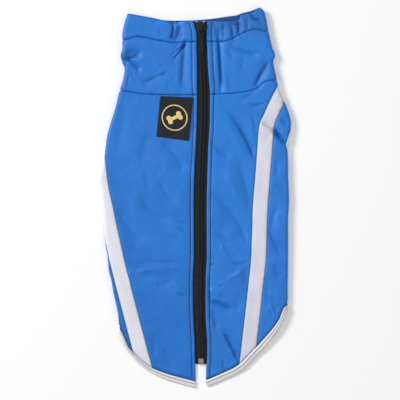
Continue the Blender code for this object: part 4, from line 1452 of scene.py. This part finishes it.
def zip_halves():
    """Each side's tape, and its coil of nylon teeth."""
    for side, name in SIDE_NAMES:
        inner = zip_line(side, -0.12, ZIP_TOP, END_BOX_LOW)
        outer = seam_line(side, lambda y: zip_reach(side, y) + TAPE_IN, END_BOX_LOW, ZIP_TOP)
        loop = np.vstack((inner, outer))
        tape = sew(f"zip_tape_cloth_{name}", TAPE, loop, jacket_height, wall=0.6,
                   out=-1.15, least=0.5)
        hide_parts(f"zip_tape_{name}")
        start = TEETH_ENDS[1] - (COIL_TEETH[0] / 2 if side > 0 else 0)
        line = zip_line(side, TEETH_ROW / 2 - 0.15, start, TEETH_ENDS[0])
        row = on_cloth(line, jacket_height, -0.1)
        teeth = beads(f"zip_coil_{name}", COIL, "zip_coil", [row], *COIL_TEETH)
        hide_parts(f"zip_teeth_{name}")
    stitched = [on_cloth(zip_line(side, TEETH_ROW + 0.5, 172, -158), jacket_height, -0.78)
                for side in (LEFT, RIGHT)]
    beads("coil_stitches", BLACK_THREAD, "zip_tape", stitched, *COIL_STITCHES)


def hardware(name, node, finish, body, width):
    """A hard piece of the frame with its edges rounded."""
    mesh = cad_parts[node].data.copy()
    mesh.transform(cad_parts[node].matrix_world)
    work = bmesh.new()
    work.from_mesh(mesh)
    bmesh.ops.remove_doubles(work, verts=work.verts, dist=0.01 * MM)
    bmesh.ops.dissolve_limit(work, angle_limit=math.radians(1), verts=work.verts, edges=work.edges)
    work.to_mesh(mesh)
    work.free()
    mesh.materials.clear()
    mesh.materials.append(finish)
    made = placed(name, mesh)
    rounding = made.modifiers.new("rounding", "BEVEL")
    rounding.width, rounding.segments = width * MM, 2
    rounding.limit_method, rounding.angle_limit = "ANGLE", math.radians(40)
    made.data = final_mesh(made, name)
    made.modifiers.clear()
    made.data.shade_smooth()
    made.data.set_sharp_from_angle(angle=math.radians(50))
    settle(made, body)
    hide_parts(node)


def zip_hardware():
    """The slider, its pull tab, the top stops and the end box."""
    hardware("slider_body", "zip_slider", PAINT, "jacket", 0.2)
    hardware("pull_tab", "zip_pull", PAINT, "pull", 0.16)
    for _, name in SIDE_NAMES:
        hardware(f"top_stop_{name}", f"zip_top_stop_{name}", STEEL, "jacket", 0.4)
    hardware("end_box", "zip_end_box", STEEL, "jacket", 0.4)


def arc(centre, radius, start, stop, step=0.5):
    """Points on an arc between two angles in degrees."""
    count = max(3, math.ceil(abs(stop - start) / 57.3 * radius / step))
    turn = np.radians(np.linspace(start, stop, count))
    return centre + radius * np.stack((np.cos(turn), np.sin(turn)), axis=1)


def bone(length, shaft, lobe):
    """Outline of a toy bone lying along X: a shaft with two round lobes at each end."""
    side = lobe * 0.8
    neck = math.degrees(math.asin((side - shaft) / lobe))
    cleft = math.degrees(math.asin(side / lobe))
    reach = length / 2
    upper = arc((reach, side), lobe, 180 + neck, -cleft)
    right = np.vstack((upper, (upper * (1, -1))[::-1][1:]))
    return np.vstack((right, -right))


def on_left(points):
    """Points seen from above, left of the middle line, on the opened-out cloth."""
    x, y = points.T
    return on_side(LEFT, -x, y)


def on_label(points):
    """Places from the label's middle, in millimetres across and up it, on the opened-out cloth."""
    across = LABEL[1] - LABEL[0]
    up = (LABEL[3] + LABEL[2] - LABEL[0] - LABEL[1]) / 2
    across, up = across / np.linalg.norm(across), up / np.linalg.norm(up)
    return on_left(LABEL.mean(axis=0) + points[:, :1] * across + points[:, 1:] * up)


def label():
    """The black damask label with a gold bone in a gold ring, sewn on all round."""
    loop = on_left(spaced_ring(LABEL, 1.0))
    lift = CLOTH / 2 + 0.5
    piece = sew("label_cloth", DAMASK, loop, jacket_height, wall=LABEL_WALL,
                out=lift)
    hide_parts("neck_label")
    turn = math.radians(BONE_TURN)
    spin = np.array(((math.cos(turn), math.sin(turn)), (-math.sin(turn), math.cos(turn))))
    ring, hollow = (arc((0, 0), radius, 0, 357) for radius in GOLD_RING)
    for name, shape, holes in (("gold_bone", bone(*GOLD_BONE) @ spin, []),
                               ("gold_ring", ring, [on_label(hollow)])):
        sew(name, GOLD, on_label(shape), jacket_height, holes,
            wall=GOLD_WALL, out=lift + 0.45, step=0.5)
    inner = 0.94 * np.vstack((LABEL, LABEL[:1])) + 0.06 * LABEL.mean(axis=0)
    stitched = on_cloth(on_left(spaced(inner, 1.0)), jacket_height, lift + 0.42)
    beads("label_stitches", BLACK_THREAD, "label_cloth", [stitched], *LABEL_STITCHES)


def topstitching():
    """The rows of stitches along the placket."""
    paths = []
    for side, _ in SIDE_NAMES:
        line = seam_line(side, lambda y, side=side: zip_reach(side, y) + placket(y), 174, -178)
        paths.append(on_cloth(line, lambda along, y: jacket_height(along, y)
                              + placket_height(along, y), CLOTH / 2 + 0.3))
    beads("placket_stitches", NAVY_THREAD, "blue_cloth", paths, *PLACKET_STITCHES)


# ---- Table, light and camera ----

def stage():
    """A pale table, soft studio light from the upper left and a camera straight above."""
    mesh = bpy.data.meshes.new("table_top")
    corners = ((-1, -1), (1, -1), (1, 1), (-1, 1))
    mesh.from_pydata([(TABLE_REACH * MM * x, TABLE_REACH * MM * y, -TABLE_DROP * MM)
                      for x, y in corners], [], [(0, 1, 2, 3)])
    floor = Finish("pale_floor", Base_Color=(0.95, 0.95, 0.95, 1), Roughness=0.9,
                   Specular_IOR_Level=0.1, Emission_Color=(1, 1, 1, 1), Emission_Strength=0.09)
    mesh.materials.append(floor.material)
    placed("table_top", mesh)
    middle = (cad_box[0] + cad_box[1]) / 2
    for name, place, size, power in LAMPS:
        lamp = bpy.data.lights.new(name, "AREA")
        lamp.size, lamp.energy = size, power
        made = placed(name, lamp)
        made.location = middle + Vector(place)
        made.rotation_euler = (-Vector(place)).to_track_quat("-Z", "Y").to_euler()
    world = bpy.data.worlds.new("studio")
    world.use_nodes = True
    world.node_tree.nodes["Background"].inputs["Color"].default_value = (1, 1, 1, 1)
    world.node_tree.nodes["Background"].inputs["Strength"].default_value = SKY
    bpy.context.scene.world = world
    bpy.context.scene.view_settings.view_transform = "Standard"
    lens = bpy.data.cameras.new("camera")
    lens.lens, lens.sensor_width, lens.clip_end = 150, 36, 20
    camera = placed("camera", lens)
    height = VIEW_WIDTH * lens.lens / lens.sensor_width
    camera.location = Vector((*VIEW_MIDDLE, height)) * MM
    bpy.context.scene.camera = camera


stage()
bindings()
zip_halves()
zip_hardware()
topstitching()
round_neck()
back()
belly()
label()
